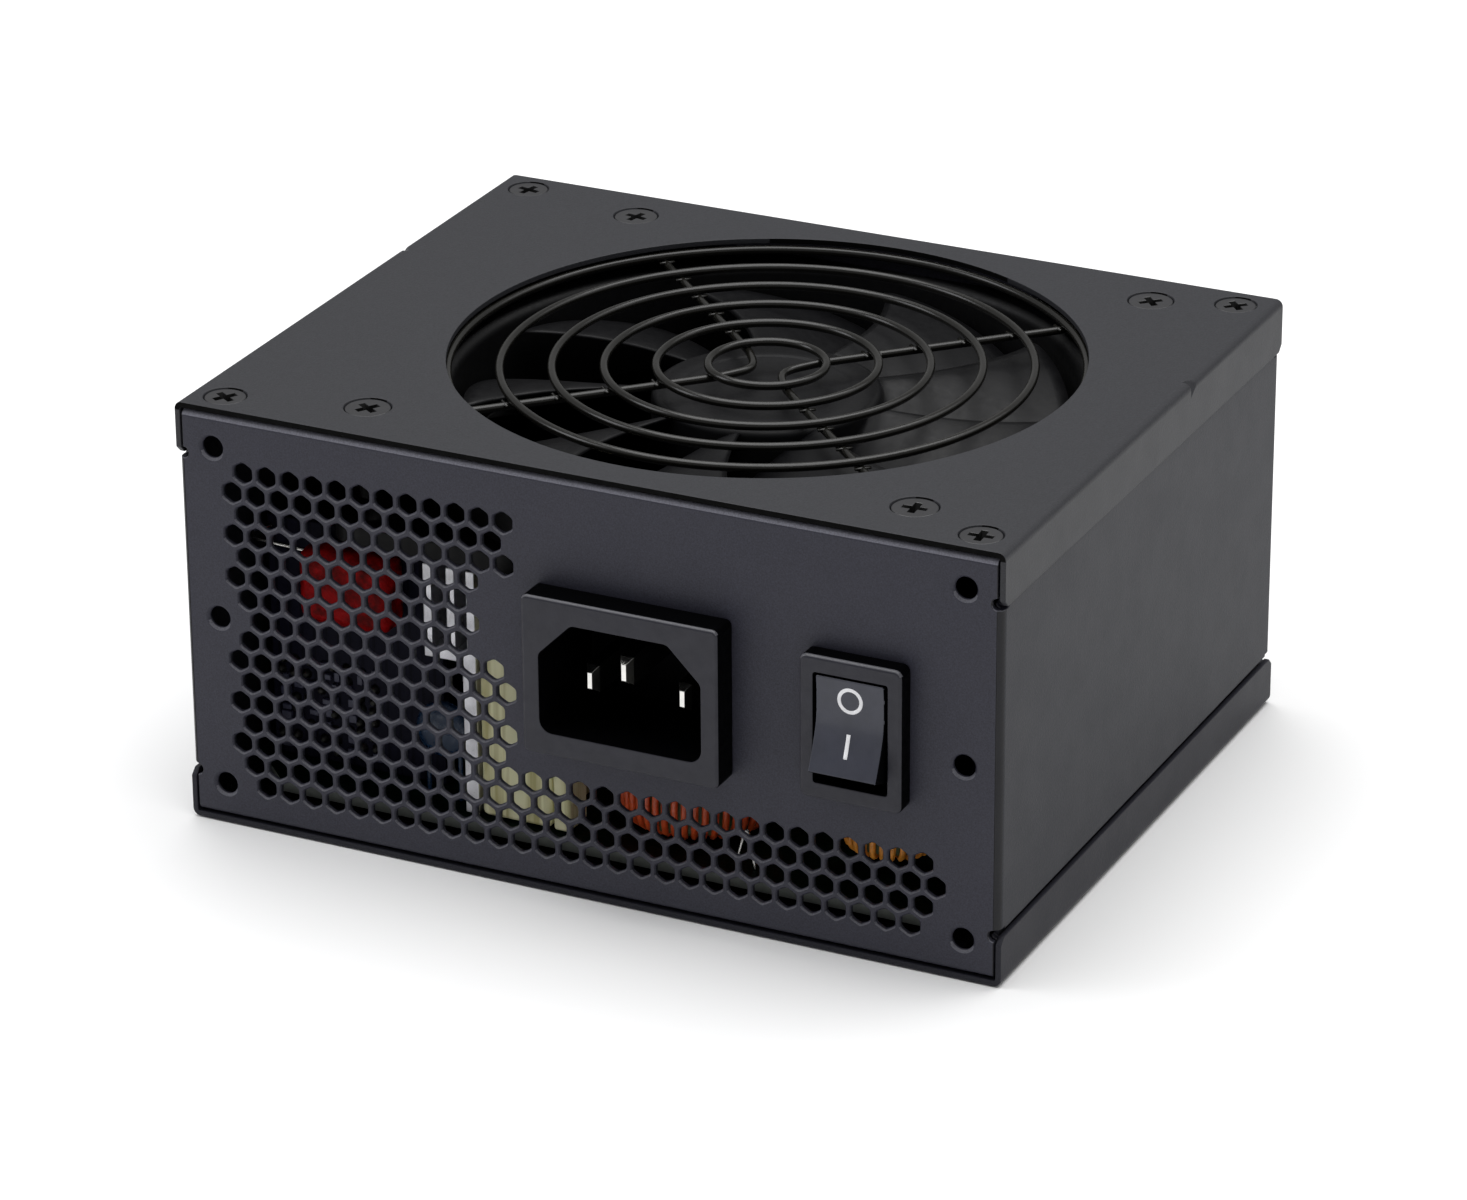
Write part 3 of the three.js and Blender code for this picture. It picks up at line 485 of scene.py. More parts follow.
def powder_coat(name, colour, specular=0.3):
    """Matt charcoal paint with a fine sandy texture and faint speckles."""
    made = Surface(name, colour, 0.5, specular=specular)
    made.tint(made.noise(0.22), shade(colour, 1.45), shade(colour, 0.8))
    made.roughen(made.noise(6), 0.49, 0.53)
    made.bump(made.noise(0.3, 2.0), 0.035)
    return made.material


def moulded(name, colour, roughness, grain=0.15, height=0.006, specular=0.5):
    """Moulded plastic: a fine spark texture with a slightly uneven gloss."""
    made = Surface(name, colour, roughness, specular=specular)
    made.tint(made.noise(2.5, 4.0), shade(colour, 1.25))
    made.roughen(made.noise(1.2, 4.0), roughness * 0.85, roughness * 1.15)
    made.bump(made.noise(grain, 2.0), height)
    return made.material


def blotched(name, colour, other):
    """Dipped coating: mostly of one colour, with darker spots and a lumpy surface."""
    made = Surface(name, colour, 0.45, specular=0.08)
    made.tint(made.noise(2.2, 4.0), other, spread=(-0.35, 1.05))
    made.bump(made.noise(1.2, 2.0), 0.25)
    return made.material


def banded(name, colour, other):
    """Plastic film wound in upright bands of two tones."""
    made = Surface(name, colour, 0.35, specular=0.3)
    made.tint(made.noise(1.4, 2.0, (1, 1, 0.06)), other, spread=(-0.5, 0.8))
    made.bump(made.noise(0.8, 2.0, (1, 1, 0.1)), 0.02)
    return made.material


def metal(name, colour, roughness, stretch=(1, 1, 14)):
    """Bare metal with drawn or rolled lines and small stains."""
    made = Surface(name, colour, roughness, metallic=1.0)
    made.tint(made.noise(1.6, 5.0), shade(colour, 0.82))
    made.roughen(made.noise(0.35, 3.0, stretch), roughness * 0.7, roughness * 1.4)
    made.bump(made.noise(0.2, 2.0, stretch), 0.004)
    return made.material


def lacquered_wire(name, colour, roughness, coat=0.4, specular=0.5):
    """Glossy wire: enamelled copper, or steel dipped in black paint."""
    made = Surface(name, colour, roughness, specular=specular)
    made.set(made.shader, {"Coat Weight": coat, "Coat Roughness": 0.15})
    made.tint(made.noise(0.8, 4.0), shade(colour, 0.7))
    made.bump(made.noise(0.5, 2.0), 0.008)
    return made.material


def circuit_board(name, colour):
    """Solder mask over copper tracks: straight tracks show as slightly lighter, raised lines."""
    made = Surface(name, colour, 0.4, specular=0.06)
    brick = made.node("TexBrick", {
        "Scale": 260, "Mortar Size": 0.06, "Mortar": (0, 0, 0, 1),
        "Color1": (1, 1, 1, 1), "Color2": (0.8, 0.8, 0.8, 1),
    })
    made.link(made.place, brick, "Vector")
    made.tint(brick.outputs["Color"], shade(colour, 1.6), spread=None)
    made.bump(brick.outputs["Color"], 0.03)
    return made.material


coated_steel = powder_coat("coated_steel", (0.023, 0.023, 0.034))
coated_steel_top = powder_coat("coated_steel_top", (0.0195, 0.02, 0.0235))
# Painted shade: a darker, less blue copy of the shell's paint for its side walls, for how the light falls on
# them
coated_steel_side_shaded = powder_coat("coated_steel_side_shaded", (0.0165, 0.0172, 0.0222), 0.2)
# Painted shade: near-black paint in the shell's upright corner bends, where shade falls
coated_bend_shade = powder_coat("coated_bend_shade", (0.006, 0.006, 0.008))
# Painted highlight along the rear panel's top bend
coated_edge_highlight = powder_coat("coated_edge_highlight", (0.13, 0.13, 0.155))
# Painted highlight on the upward-facing faces of the vent mouths and dimples
coated_rim_highlight = powder_coat("coated_rim_highlight", (0.08, 0.08, 0.095))
coated_tray = powder_coat("coated_tray", (0.013, 0.013, 0.0185), 0.22)
# Painted shade: near black on the cover's front and back cut edges, for the dark line of shade under its edge
cut_edge_shade = moulded("cut_edge_shade", (0.002, 0.002, 0.002), 0.7, specular=0.05)
guard_wire = lacquered_wire("guard_wire", (0.008, 0.0076, 0.0062), 0.24, coat=0.15, specular=0.35)
fan_plastic = moulded("fan_plastic", (0.003, 0.003, 0.0033), 0.45, specular=0.2)
blade_plastic = moulded("fan_blade_plastic", (0.0032, 0.0032, 0.0038), 0.46, specular=0.18)
shaft_steel = metal("shaft_steel", (0.62, 0.62, 0.64), 0.25)
bearing_bronze = metal("bearing_bronze", (0.5, 0.34, 0.14), 0.4)
magnet_black = moulded("magnet", (0.03, 0.03, 0.032), 0.6)
inlet_front = moulded("inlet_front", (0.0145, 0.0145, 0.021), 0.5, 0.25, 0.02, specular=0.35)
# Painted highlight along the top edge of the housings' fronts
inlet_edge_highlight = moulded("inlet_edge_highlight", (0.07, 0.07, 0.08), 0.35)
# Painted shade: near black on the sides of the housings and the rocker, which are the same plastic as their
# fronts
inlet_side_shade = moulded("inlet_side_shade", (0.0007, 0.0007, 0.001), 0.5, specular=0.03)
rocker_plastic = moulded("rocker_plastic", (0.028, 0.03, 0.043), 0.42, 0.2, 0.012)
mark_white = moulded("mark_white", (0.72, 0.72, 0.74), 0.5)
contact_metal = metal("contact_metal", (0.8, 0.79, 0.76), 0.18)
# Dull dark metal for the solder joints; on the inlet's pins it is painted shade on all faces but the front
# and left ones
dull_metal_and_shade = metal("dull_metal_and_shade", (0.04, 0.04, 0.037), 0.4)
# Painted shade: the circuit boards' colours are darkened to stand in for the shade inside the case
green_board_shaded = circuit_board("circuit_board", (0.002, 0.007, 0.0045))
dark_board = circuit_board("dark_board", (0.005, 0.005, 0.011))
chip_blue = moulded("chip_blue", (0.04, 0.042, 0.075), 0.35)
board_edge = moulded("board_edge", (0.13, 0.14, 0.13), 0.6, specular=0.1)
film_sheet = moulded("insulating_film", (0.004, 0.004, 0.004), 0.5, specular=0.2)
yellow_case = banded("yellow_case", (0.96, 0.94, 0.62), (0.5, 0.45, 0.16))
red_case = blotched("red_case", (0.34, 0.003, 0.004), (0.05, 0.001, 0.001))
blue_coating = moulded("blue_coating", (0.006, 0.022, 0.055), 0.28)
sleeve = moulded("capacitor_sleeve", (0.02, 0.02, 0.032), 0.3)
bare_aluminium = metal("bare_aluminium", (0.82, 0.82, 0.86), 0.38)
black_aluminium = moulded("black_aluminium", (0.02, 0.02, 0.022), 0.45)
ferrite = moulded("ferrite", (0.025, 0.025, 0.027), 0.55, 0.4, 0.03)
ring_core = moulded("ring_core", (0.06, 0.085, 0.03), 0.5)
copper_red = lacquered_wire("copper_wire", (0.88, 0.12, 0.03), 0.35)
copper_orange = lacquered_wire("copper_wire_bright", (1.0, 0.38, 0.05), 0.35)
yellow_tape = moulded("yellow_tape", (0.66, 0.5, 0.08), 0.35)
socket_plastic = moulded("socket_plastic", (0.012, 0.012, 0.012), 0.4)
screw_steel = moulded("screw_steel", (0.017, 0.017, 0.019), 0.36)
# Painted shade: near black in the screws' cross recesses
recess_shade = moulded("recess_shade", (0.0015, 0.0015, 0.0015), 0.6, specular=0.1)


# ---- camera, light and stage

CAMERA_AIM = Vector((-1.15, 0.0, 24.65))
CAMERA_AZIMUTH = 25.9
CAMERA_ELEVATION = 24.15
CAMERA_ROLL = -0.4
CAMERA_DISTANCE = 872
CAMERA_LENS = 149.3
LIGHT_AIM = Vector((0, 0, 0.03))


def direction(azimuth, elevation):
    """Unit vector from the object towards a viewer. Azimuth 0 is -Y, and 90 is +X."""
    a, e = math.radians(azimuth), math.radians(elevation)
    return Vector((math.sin(a) * math.cos(e), -math.cos(a) * math.cos(e), math.sin(e)))


def make_camera():
    camera = linked("camera", bpy.data.cameras.new("camera"))
    camera.data.lens = CAMERA_LENS
    camera.data.sensor_width = 36
    camera.data.clip_start = 0.05
    back = direction(CAMERA_AZIMUTH, CAMERA_ELEVATION)
    camera.location = (CAMERA_AIM + back * CAMERA_DISTANCE) * MM
    level = (-back).to_track_quat("-Z", "Y").to_matrix()
    roll = Matrix.Rotation(math.radians(CAMERA_ROLL), 3, back)
    camera.rotation_euler = (roll @ level).to_euler()
    bpy.context.scene.camera = camera


def add_light(name, azimuth, elevation, distance, size, power, colour=(1.0, 1.0, 1.0)):
    data = bpy.data.lights.new(name, "AREA")
    data.shape = "RECTANGLE"
    data.size, data.size_y = size
    data.energy = power
    data.color = colour
    light = linked(name, data)
    back = direction(azimuth, elevation)
    light.location = LIGHT_AIM + back * distance
    light.rotation_euler = back.to_track_quat("Z", "Y").to_euler()


def make_lights():
    add_light("overhead", 180, 84, 1.5, (1.8, 1.8), 34)
    add_light("right_rear", 130, 38, 0.85, (0.5, 0.4), 0.7)
    add_light("left_front", -68, 30, 1.3, (0.5, 0.6), 3, (0.95, 0.96, 1.0))


def make_stage():
    floor = linked("floor", bpy.data.meshes.new("floor"))
    reach = 12
    corners = [(x, y, 0) for x, y in square(reach)]
    floor.data.from_pydata(corners, [], [(0, 1, 2, 3)])
    # A hair below the tray, so that the two faces don't mix
    floor.location.z = -0.0002
    pale = Surface("floor_paint", (0.86, 0.86, 0.86), 0.7, specular=0.2)
    pale.tint(pale.noise(400, 2.0), (0.9, 0.9, 0.9))
    floor.data.materials.append(pale.material)
    world = bpy.data.worlds.new("world")
    world.use_nodes = True
    world.node_tree.nodes["Background"].inputs["Color"].default_value = (1, 1, 1, 1)
    world.node_tree.nodes["Background"].inputs["Strength"].default_value = 0.31
    bpy.context.scene.world = world
    bpy.context.scene.view_settings.view_transform = "Standard"


# ---- sheet metal

def flange_chamfers(low, high, flange_end, upward):
    """Prisms that take off the free corners of the side flanges, at both ends."""
    reach = FLANGE_CHAMFER + 1
    tools = []
    for y, inward in ((low.y, 1), (high.y, -1)):
        z = flange_end - upward
        corner = [(y - inward, z), (y + inward * reach, z), (y - inward, z + upward * (reach + 1))]
        tools.append(prism(corner, "X", low.x - 1, high.x + 1))
    return tools


def sunk_hole(node, grow=0.32):
    """The hole round a sunk screw head, a little wider than the head."""
    low, high = box(node)
    centre = (low + high) / 2
    wide = (high.x - low.x) / 2 + grow
    narrow = wide - 0.55
    if node.startswith("tray"):
        return cone("Z", (wide, narrow), low.z - 1, low.z + 2, centre.xy, 48)
    return cone("Z", (narrow, wide), high.z - 2, high.z + 1, centre.xy, 48)


def gusset(side, edge, y, top):
    """A small pressed dent across the cover's bend, cut by a pyramid with three sides."""
    outside, inside = side * (edge + 0.5), side * (edge - 2.0)
    corners = [
        (outside, y - 2.3, top + 0.5), (inside, y - 2.3, top + 0.5), (outside, y - 2.3, top - 2.6),
        (outside, y + 2.6, top + 0.5),
    ]
    dent = bmesh.new()
    verts = [dent.verts.new(corner) for corner in corners]
    for face in combinations(verts, 3):
        dent.faces.new(face)
    bmesh.ops.recalc_face_normals(dent, faces=dent.faces)
    return dent


def make_cover():
    low, high = box("top_cover")
    path = [(low.x, low.z), (low.x, high.z), (high.x, high.z), (high.x, low.z)]
    sheet = prism(bent_outline(path, COVER_BEND, SHEET), "Y", low.y, high.y)
    tools = flange_chamfers(low, high, low.z, 1)
    tools.append(cone("Z", OPENING_RADIUS, low.z, high.z + 1, FAN_AXIS.xy, 144))
    tools += [sunk_hole(f"{kind}_screw_{i}") for kind in ("cover", "fan") for i in range(1, 5)]
    tools += [gusset(side, high.x, GUSSET_Y, high.z) for side in (-1, 1)]
    cover = cut(sheet, *tools)
    # The cut edges at the front and back of the top are painted near black, as painted shade for the dark
    # line under the cover's edge, but not those of the flanges
    below_top = high.z - SHEET - 0.4
    divide(cover, (0, 0, below_top), (0, 0, 1))
    mark_faces(cover, lambda f: 1 if abs(f.normal.y) > 0.9 and f.calc_center_median().z > below_top else 0)
    add_piece("cover_sheet", cover, [coated_steel_top, cut_edge_shade], "top_cover", edge=SHEET_EDGE)


def make_tray():
    low, high = box("bottom_tray")
    # The bosses under the board reach above the flanges' edge, so the flange height is named here
    flange = 7.2
    path = [(low.x, flange), (low.x, low.z), (high.x, low.z), (high.x, flange)]
    sheet = prism(bent_outline(path, COVER_BEND, SHEET), "Y", low.y, high.y)
    tools = flange_chamfers(low, high, flange, -1)
    tools += [sunk_hole(f"tray_screw_{i}") for i in range(1, 5)]
    board = box("main_board")[0].z
    corners = rectangle(-50, 50, -36, 36)
    bosses = [cone("Z", (4, 2.6), SHEET / 2, board - 0.2, corner) for corner in corners]
    tray = joined(cut(sheet, *tools), *bosses)
    add_piece("tray_sheet", tray, coated_tray, "bottom_tray", edge=SHEET_EDGE)


def vent_cutters():
    """Rounded hexagons through the rear panel, with slightly wider mouths."""
    radius = VENT_FLAT / math.sqrt(3)
    row_step = VENT_PITCH * math.sqrt(3) / 2
    rear = box("main_shell")[0].y
    bm = bmesh.new()
    for row, (start, count) in enumerate(VENT_ROWS):
        for hole in range(count):
            x = VENT_LEFT + (start / 2 + hole) * VENT_PITCH
            z = VENT_TOP - row * row_step
            mouth, hexagon = [
                rounded(polygon(radius + wider, 6, x, z, math.radians(30)), VENT_CORNER, 3)
                for wider in (VENT_MOUTH + 0.05, 0)
            ]
            levels = [rear - 0.05, rear + VENT_MOUTH, rear + SHEET + 1]
            loft([mouth, hexagon, hexagon], "Y", levels, bm)
    return bm


def tab_cutters(top, screws, places):
    """The guard's opening in a tab under the cover, and the holes round fan screws and cover screws."""
    opening = GUARD_RADIUS + 0.3
    tools = [cone("Z", opening, top - 2, top + 1, FAN_AXIS.xy, 96)]
    for x, y in places:
        tools.append(cone("Z", 3, top - 2, top + 1, (FAN_AXIS.x + x, FAN_AXIS.y + y)))
    for i in screws:
        tools.append(cone("Z", 2.5, 0, top + 1, middle(f"cover_screw_{i}").xy))
    return tools


def panel_window(node, half_x):
    """The cutter of the window round the inlet's or the switch's body."""
    centre = middle(node)
    width, height = half_x + WINDOW_GAP, HOUSING_HALF_Z + WINDOW_GAP
    outline = rectangle(centre.x - width, centre.x + width, centre.z - height, centre.z + height)
    rear = box("main_shell")[0].y
    return prism(outline, "Y", rear - 1, rear + 2)


def mounting_cutters():
    """Holes for the mounting screws, and the shallow dimples round them."""
    rear = box("main_shell")[0].y
    # A dimple's cutter starts 1 mm before the panel, so it is that much wider there
    outer = MOUNT_DIMPLE + (MOUNT_DIMPLE - MOUNT_RADIUS) / MOUNT_DIMPLE_DEPTH
    through, dimples = bmesh.new(), bmesh.new()
    for x in (-MOUNT_X, MOUNT_X):
        for level in range(3):
            place = (x, MOUNT_LOW + level * MOUNT_STEP)
            cone("Y", MOUNT_RADIUS, rear - 1, rear + SHEET + 1, place, 32, through)
            cone("Y", (outer, MOUNT_RADIUS), rear - 1, rear + MOUNT_DIMPLE_DEPTH, place, 32, dimples)
    return [through, dimples]


def relief_cutters(wall_low, wall_high):
    """Round notches where the bends of the corners meet, which bite a little into the side walls."""
    low, high = box("main_shell")
    tools = []
    for x in (low.x + LAP_INSET, high.x - LAP_INSET):
        outside = x + math.copysign(2, x)
        for z in (wall_low + RELIEF_BITE - RELIEF_RADIUS, wall_high - RELIEF_BITE + RELIEF_RADIUS):
            for y0, y1 in ((low.y - 1, low.y + 2), (high.y - 2, high.y + 1)):
                tools.append(cone("Y", RELIEF_RADIUS, y0, y1, (x, z), 24))
                x0, x1 = sorted((x, outside))
                tools.append(block((x0, y0, z - RELIEF_RADIUS), (x1, y1, z + RELIEF_RADIUS)))
    return tools


def make_shell():
    low, high = box("main_shell")
    wall_low, wall_high = 8.0, 55.5
    wrap = [
        (high.x - RETURN_FLANGE, high.y), (high.x, high.y), (high.x, low.y),
        (low.x, low.y), (low.x, high.y), (low.x + RETURN_FLANGE, high.y),
    ]
    walls = prism(bent_outline(wrap, CORNER_BEND, SHEET), "Z", wall_low, wall_high)
    lap = high.x - LAP_INSET
    fold = [(low.y + TAB_DEPTH, high.z), (low.y, high.z), (low.y, low.z), (low.y + TAB_DEPTH, low.z)]
    panel = prism(bent_outline(fold, PANEL_BEND, SHEET), "X", -lap, lap)
    strips = []
    for x0, x1 in ((-lap, SHEET - lap), (lap - SHEET, lap)):
        strips.append(block((x0, low.y + 1.2, low.z), (x1, high.y - 0.2, high.z)))
    tools = [
        *mounting_cutters(), *relief_cutters(wall_low, wall_high),
        panel_window("inlet_housing", INLET_HALF_X), panel_window("switch_housing", SWITCH_HALF_X),
        *tab_cutters(high.z, (1, 2), square(FAN_HOLE_OFFSET)),
    ]
    shell = cut(joined(walls, panel, *strips), *tools)
    sharp = [edge for edge in shell.edges if edge.calc_face_angle(0) > math.radians(SHARP_ANGLE)]
    shell = cut(soften(shell, sharp, SHEET_EDGE, 2), vent_cutters())
    mark_faces(shell, lambda face: shell_paint(face, high.z - PANEL_BEND - 0.1))
    paints = [coated_steel, coated_steel_side_shaded, coated_bend_shade, coated_edge_highlight, coated_rim_highlight]
    add_piece("shell_sheet", shell, paints, "main_shell", crisp=True)


def shell_paint(face, bend_start):
    """Which of the five paints a face has. They are lit and shaded copies of one powder coat: the panel's top
    bend and the vent mouths and dimples get painted highlights, the upright corner bends painted shade, and
    the side walls a darker, less blue copy as painted shade.
    """
    across, ahead = abs(face.normal.x), -face.normal.y
    # Painted highlights: on the panel's top bend (3), and below it on the upward-facing faces of the vent
    # mouths and dimples (4)
    if face.normal.z > 0.25 and ahead > 0.25:
        return 3 if face.calc_center_median().z > bend_start else 4
    # Painted shade in the upright corner bends
    if across > 0.2 and ahead > 0.2:
        return 2 if abs(face.calc_center_median().x) > UPRIGHT_BENDS else 0
    # The side walls take a darker copy of the paint, as painted shade
    return 1 if across > 0.9 else 0


def make_connector_panel():
    low, high = box("connector_panel")
    fold = [(high.y - TAB_DEPTH, high.z), (high.y, high.z), (high.y, low.z), (high.y - TAB_DEPTH, low.z)]
    panel = prism(bent_outline(fold, PANEL_BEND, SHEET), "X", low.x, high.x)
    openings = bmesh.new()
    for node in SOCKETS:
        a, b = box(node)
        gap = WINDOW_GAP
        outline = rectangle(a.x - gap, b.x + gap, a.z - gap, b.z + gap)
        prism(outline, "Y", high.y - 2, high.y + 1, openings)
    for slot in range(SLOT_COUNT):
        x = (slot - (SLOT_COUNT - 1) / 2) * SLOT_PITCH
        outline = rounded(rectangle(x - 2, x + 2, 46.5, 57), 1.9, 6)
        prism(outline, "Y", high.y - 2, high.y + 1, openings)
    panel = cut(panel, openings, *tab_cutters(high.z, (3, 4), square(FAN_HOLE_OFFSET)[2:]))
    add_piece("connector_sheet", panel, coated_steel, "connector_panel", edge=SHEET_EDGE)


def screw_solid(node, length):
    """A sunk-head screw with a cross recess, at the origin, its head's top at z = 0."""
    low, high = box(node)
    radius = (high.x - low.x) / 2
    head = lathe([
        (0, 0), (radius - 0.12, 0), (radius, -0.12), (radius - 0.1, -0.3), (1.5, -1.6),
        (1.5, -length), (0, -length),
    ], 40)
    arm, half_width, depth = 1.9, 0.52, 1.3
    top = rectangle(-arm, arm, -half_width, half_width)
    bottom = [(x * 0.4, y * 0.6) for x, y in top]
    recess = [turned(loft([bottom, top], "Z", [-depth, 0.2]), degrees, "Z") for degrees in (0, 90)]
    return cut(head, *recess)


def make_screws():
    kinds = {"cover": 4.2, "tray": 4.2, "fan": 13}
    for kind, length in kinds.items():
        for i in range(1, 5):
            node = f"{kind}_screw_{i}"
            solid = screw_solid(node, length)
            # Faces inside the cross recess are painted near black, as painted shade
            for face in solid.faces:
                centre = face.calc_center_median()
                if centre.xy.length < 1.85 and centre.z < -0.05:
                    face.material_index = 1
            turned(solid, 37 * i + 20, "Z")
            low, high = box(node)
            if kind == "tray":
                turned(solid, 180, "X")
            moved(solid, middle(node).x, middle(node).y, low.z if kind == "tray" else high.z)
            finishes = [screw_steel, recess_shade]
            add_piece(f"{kind}_screw_head_{i}", solid, finishes, node, edge=0.05, steps=1)


# ---- fan and guard

def make_guard():
    bm = bmesh.new()
    for ring in range(RING_COUNT):
        circle = [(x, y, RING_Z) for x, y in polygon(FIRST_RING + ring * RING_STEP, 144)]
        sweep(circle, WIRE, 14, True, bm)
    for side in (-1, 1):
        sweep(spoke_path(side), WIRE * 0.95, 12, False, bm)
        for ring in range(1, RING_COUNT):
            for end, beside in ((-1, -1), (-1, 1), (1, -1), (1, 1)):
                weld_flash(FIRST_RING + ring * RING_STEP + beside * WIRE * 1.6, side, end, bm)
    for x, y in square(FAN_HOLE_OFFSET):
        eye = [(a, b, SPOKE_Z) for a, b in polygon(2.9, 32, x, y)]
        sweep(eye, WIRE * 0.95, 12, True, bm)
    moved(bm, FAN_AXIS.x, FAN_AXIS.y)
    add_piece("wire_guard", bm, guard_wire, "fan_guard")


def weld_flash(radius, side, end, bm):
    """A short burr of metal squeezed out beside the weld of a spoke and a ring."""
    centre = Vector((side * radius, end * radius, 0)) / math.sqrt(2)
    across = Vector((-end * side, 1, 0)).normalized() * 1.15
    top = Vector((0, 0, SPOKE_Z + 0.35))
    sweep([centre - across + top, centre + top, centre + across + top], (0.28, 0.22), 8, False, bm)


def spoke_path(side):
    """One bent wire: in from a corner, round beside the middle, and out to the other corner."""
    end = FAN_HOLE_OFFSET - 2
    bend = FIRST_RING * 0.75
    half = [
        (end, end), (end / 2, end / 2), (bend + 2, bend + 2), (bend - 1.6, bend - 2), (SPOKE_TURN, 0),
    ]
    knots = half + [(x, -y) for x, y in half[-2::-1]]
    return [(side * x, side * y, SPOKE_Z) for x, y in smooth_path(knots, 10)]


def smooth_path(knots, steps):
    """A Catmull-Rom curve through the knots."""
    points = [Vector(k) for k in knots]
    ends = [2 * points[0] - points[1], *points, 2 * points[-1] - points[-2]]
    path = []
    for a, b, c, d in zip(ends, ends[1:], ends[2:], ends[3:]):
        for step in range(steps):
            t = step / steps
            path.append(0.5 * (2 * b + (c - a) * t + (2 * a - 5 * b + 4 * c - d) * t ** 2
                               + (3 * b - a - 3 * c + d) * t ** 3))
    path.append(points[-1])
    return [tuple(p) for p in path]


def make_fan_frame():
    low, high = box("fan_frame")
    half = (high.x - low.x) / 2
    body = prism(rounded(square(half), 4, 8), "Z", low.z, high.z)
    around = prism(square(half + 2), "Z", low.z + 3, high.z - 3)
    waist = cut(around, cone("Z", half + 1.2, low.z, high.z, sides=96))
    bore = lathe([
        (0, low.z - 1), (FAN_BORE, low.z - 1), (FAN_BORE, high.z - 1.4), (FAN_BORE + 0.5, high.z - 0.4),
        (FAN_BORE + 1.5, high.z + 0.1), (0, high.z + 0.1),
    ], 144)
    holes = bmesh.new()
    for place in square(FAN_HOLE_OFFSET):
        cone("Z", 2.15, low.z - 1, high.z + 1, place, 24, holes)
    body = cut(body, waist, bore, holes)
    strut_top = low.z + 2
    reach = FAN_BORE + 0.8
    inner = [
        block((-reach, -2, low.z), (reach, 2, strut_top)),
        block((-2, -reach, low.z), (2, reach, strut_top)),
        cone("Z", 17, low.z, strut_top, sides=64),
        cone("Z", 3.6, strut_top - 0.3, low.z + 10.1),
    ]
    bearing_well = cone("Z", 2.7, strut_top - 0.5, strut_top + 12)
    body = moved(cut(joined(body, *inner), bearing_well), FAN_AXIS.x, FAN_AXIS.y)
    add_piece("fan_housing", body, fan_plastic, "fan_frame", edge=0.25)


def blade_point(out, across, face, fan_low):
    """Blade surface: across runs from the trailing edge (0) to the leading edge (1), which is higher."""
    root = HUB_RADIUS - 0.8
    radius = root + (BLADE_TIP - root) * out
    angle = math.radians(BLADE_SWEEP * out * out + (across - 0.5) * BLADE_WIDTH)
    rise = 8.2 - 1.2 * out
    camber = 0.9 * math.sin(math.pi * across)
    # The edges are thinner than the middle of the blade
    fullness = math.sqrt(max(0.0, 1 - (2 * across - 1) ** 4))
    z = fan_low + 9.2 + (across - 0.5) * rise + camber + face * BLADE_THICKNESS / 2 * fullness
    return radius * math.cos(angle), radius * math.sin(angle), z


def blade(fan_low):
    """One blade: an upper and a lower surface, closed at the root and the tip."""
    out_steps, across_steps = 14, 18
    bm = bmesh.new()
    upper, lower = [
        [[bm.verts.new(blade_point(i / out_steps, j / across_steps, face, fan_low))
          for j in range(across_steps + 1)] for i in range(out_steps + 1)]
        for face in (1, -1)
    ]
    for j in range(across_steps):
        for rows in (upper, lower):
            for row, following in zip(rows, rows[1:]):
                bm.faces.new((row[j], following[j], following[j + 1], row[j + 1]))
        for above, below in ((upper[0], lower[0]), (upper[-1], lower[-1])):
            bm.faces.new((above[j], above[j + 1], below[j + 1], below[j]))
    bmesh.ops.remove_doubles(bm, verts=bm.verts, dist=1e-5)
    bmesh.ops.recalc_face_normals(bm, faces=bm.faces)
    return bm


def make_rotor():
    fan_low = box("fan_frame")[0].z
    top, low = fan_low + 13.8, fan_low + 3.5
    inner = HUB_RADIUS - 1.6
    hub = [
        (0, top - 0.9), (1.8, top - 0.9), (1.8, top - 3.4), (3, top - 3.4), (3, top - 1.4),
        (inner, top - 1.4), (inner, low), (HUB_RADIUS, low), (HUB_RADIUS, top - 1.1),
        (HUB_RADIUS - 0.35, top - 0.35), (HUB_RADIUS - 1.1, top), (12.2, top), (12.0, top - 0.25),
        (0, top - 0.25),
    ]
    turns = [BLADE_START + i * 360 / BLADE_COUNT for i in range(BLADE_COUNT)]
    blades = [turned(blade(fan_low), turn, "Z") for turn in turns]
    wheel = moved(merged(lathe(hub, 96), *blades), FAN_AXIS.x, FAN_AXIS.y)
    add_piece("fan_wheel", wheel, blade_plastic, "fan_rotor", body="fan_spinner")


def make_fan_motor():
    height = middle("fan_stator").z
    steps, turns = 64, 8
    coils = []
    for i in range(4):
        path = []
        for step in range(steps):
            part = step / steps
            t = 2 * math.pi * part * turns
            path.append((8 + 2.2 * (part - 0.5), 2.1 * math.cos(t), height + 2.4 * math.sin(t)))
        coils.append(turned(sweep(smooth_path(path, 3), 0.2, 6), 45 + 90 * i, "Z"))
    coils = moved(merged(*coils), FAN_AXIS.x, FAN_AXIS.y)
    add_piece("stator_coils", coils, copper_orange)
    dress("fan_stator", ferrite)
    dress("fan_shaft", shaft_steel)
    dress("fan_bearing", bearing_bronze)
    dress("fan_magnet", magnet_black)


# ---- mains inlet and switch

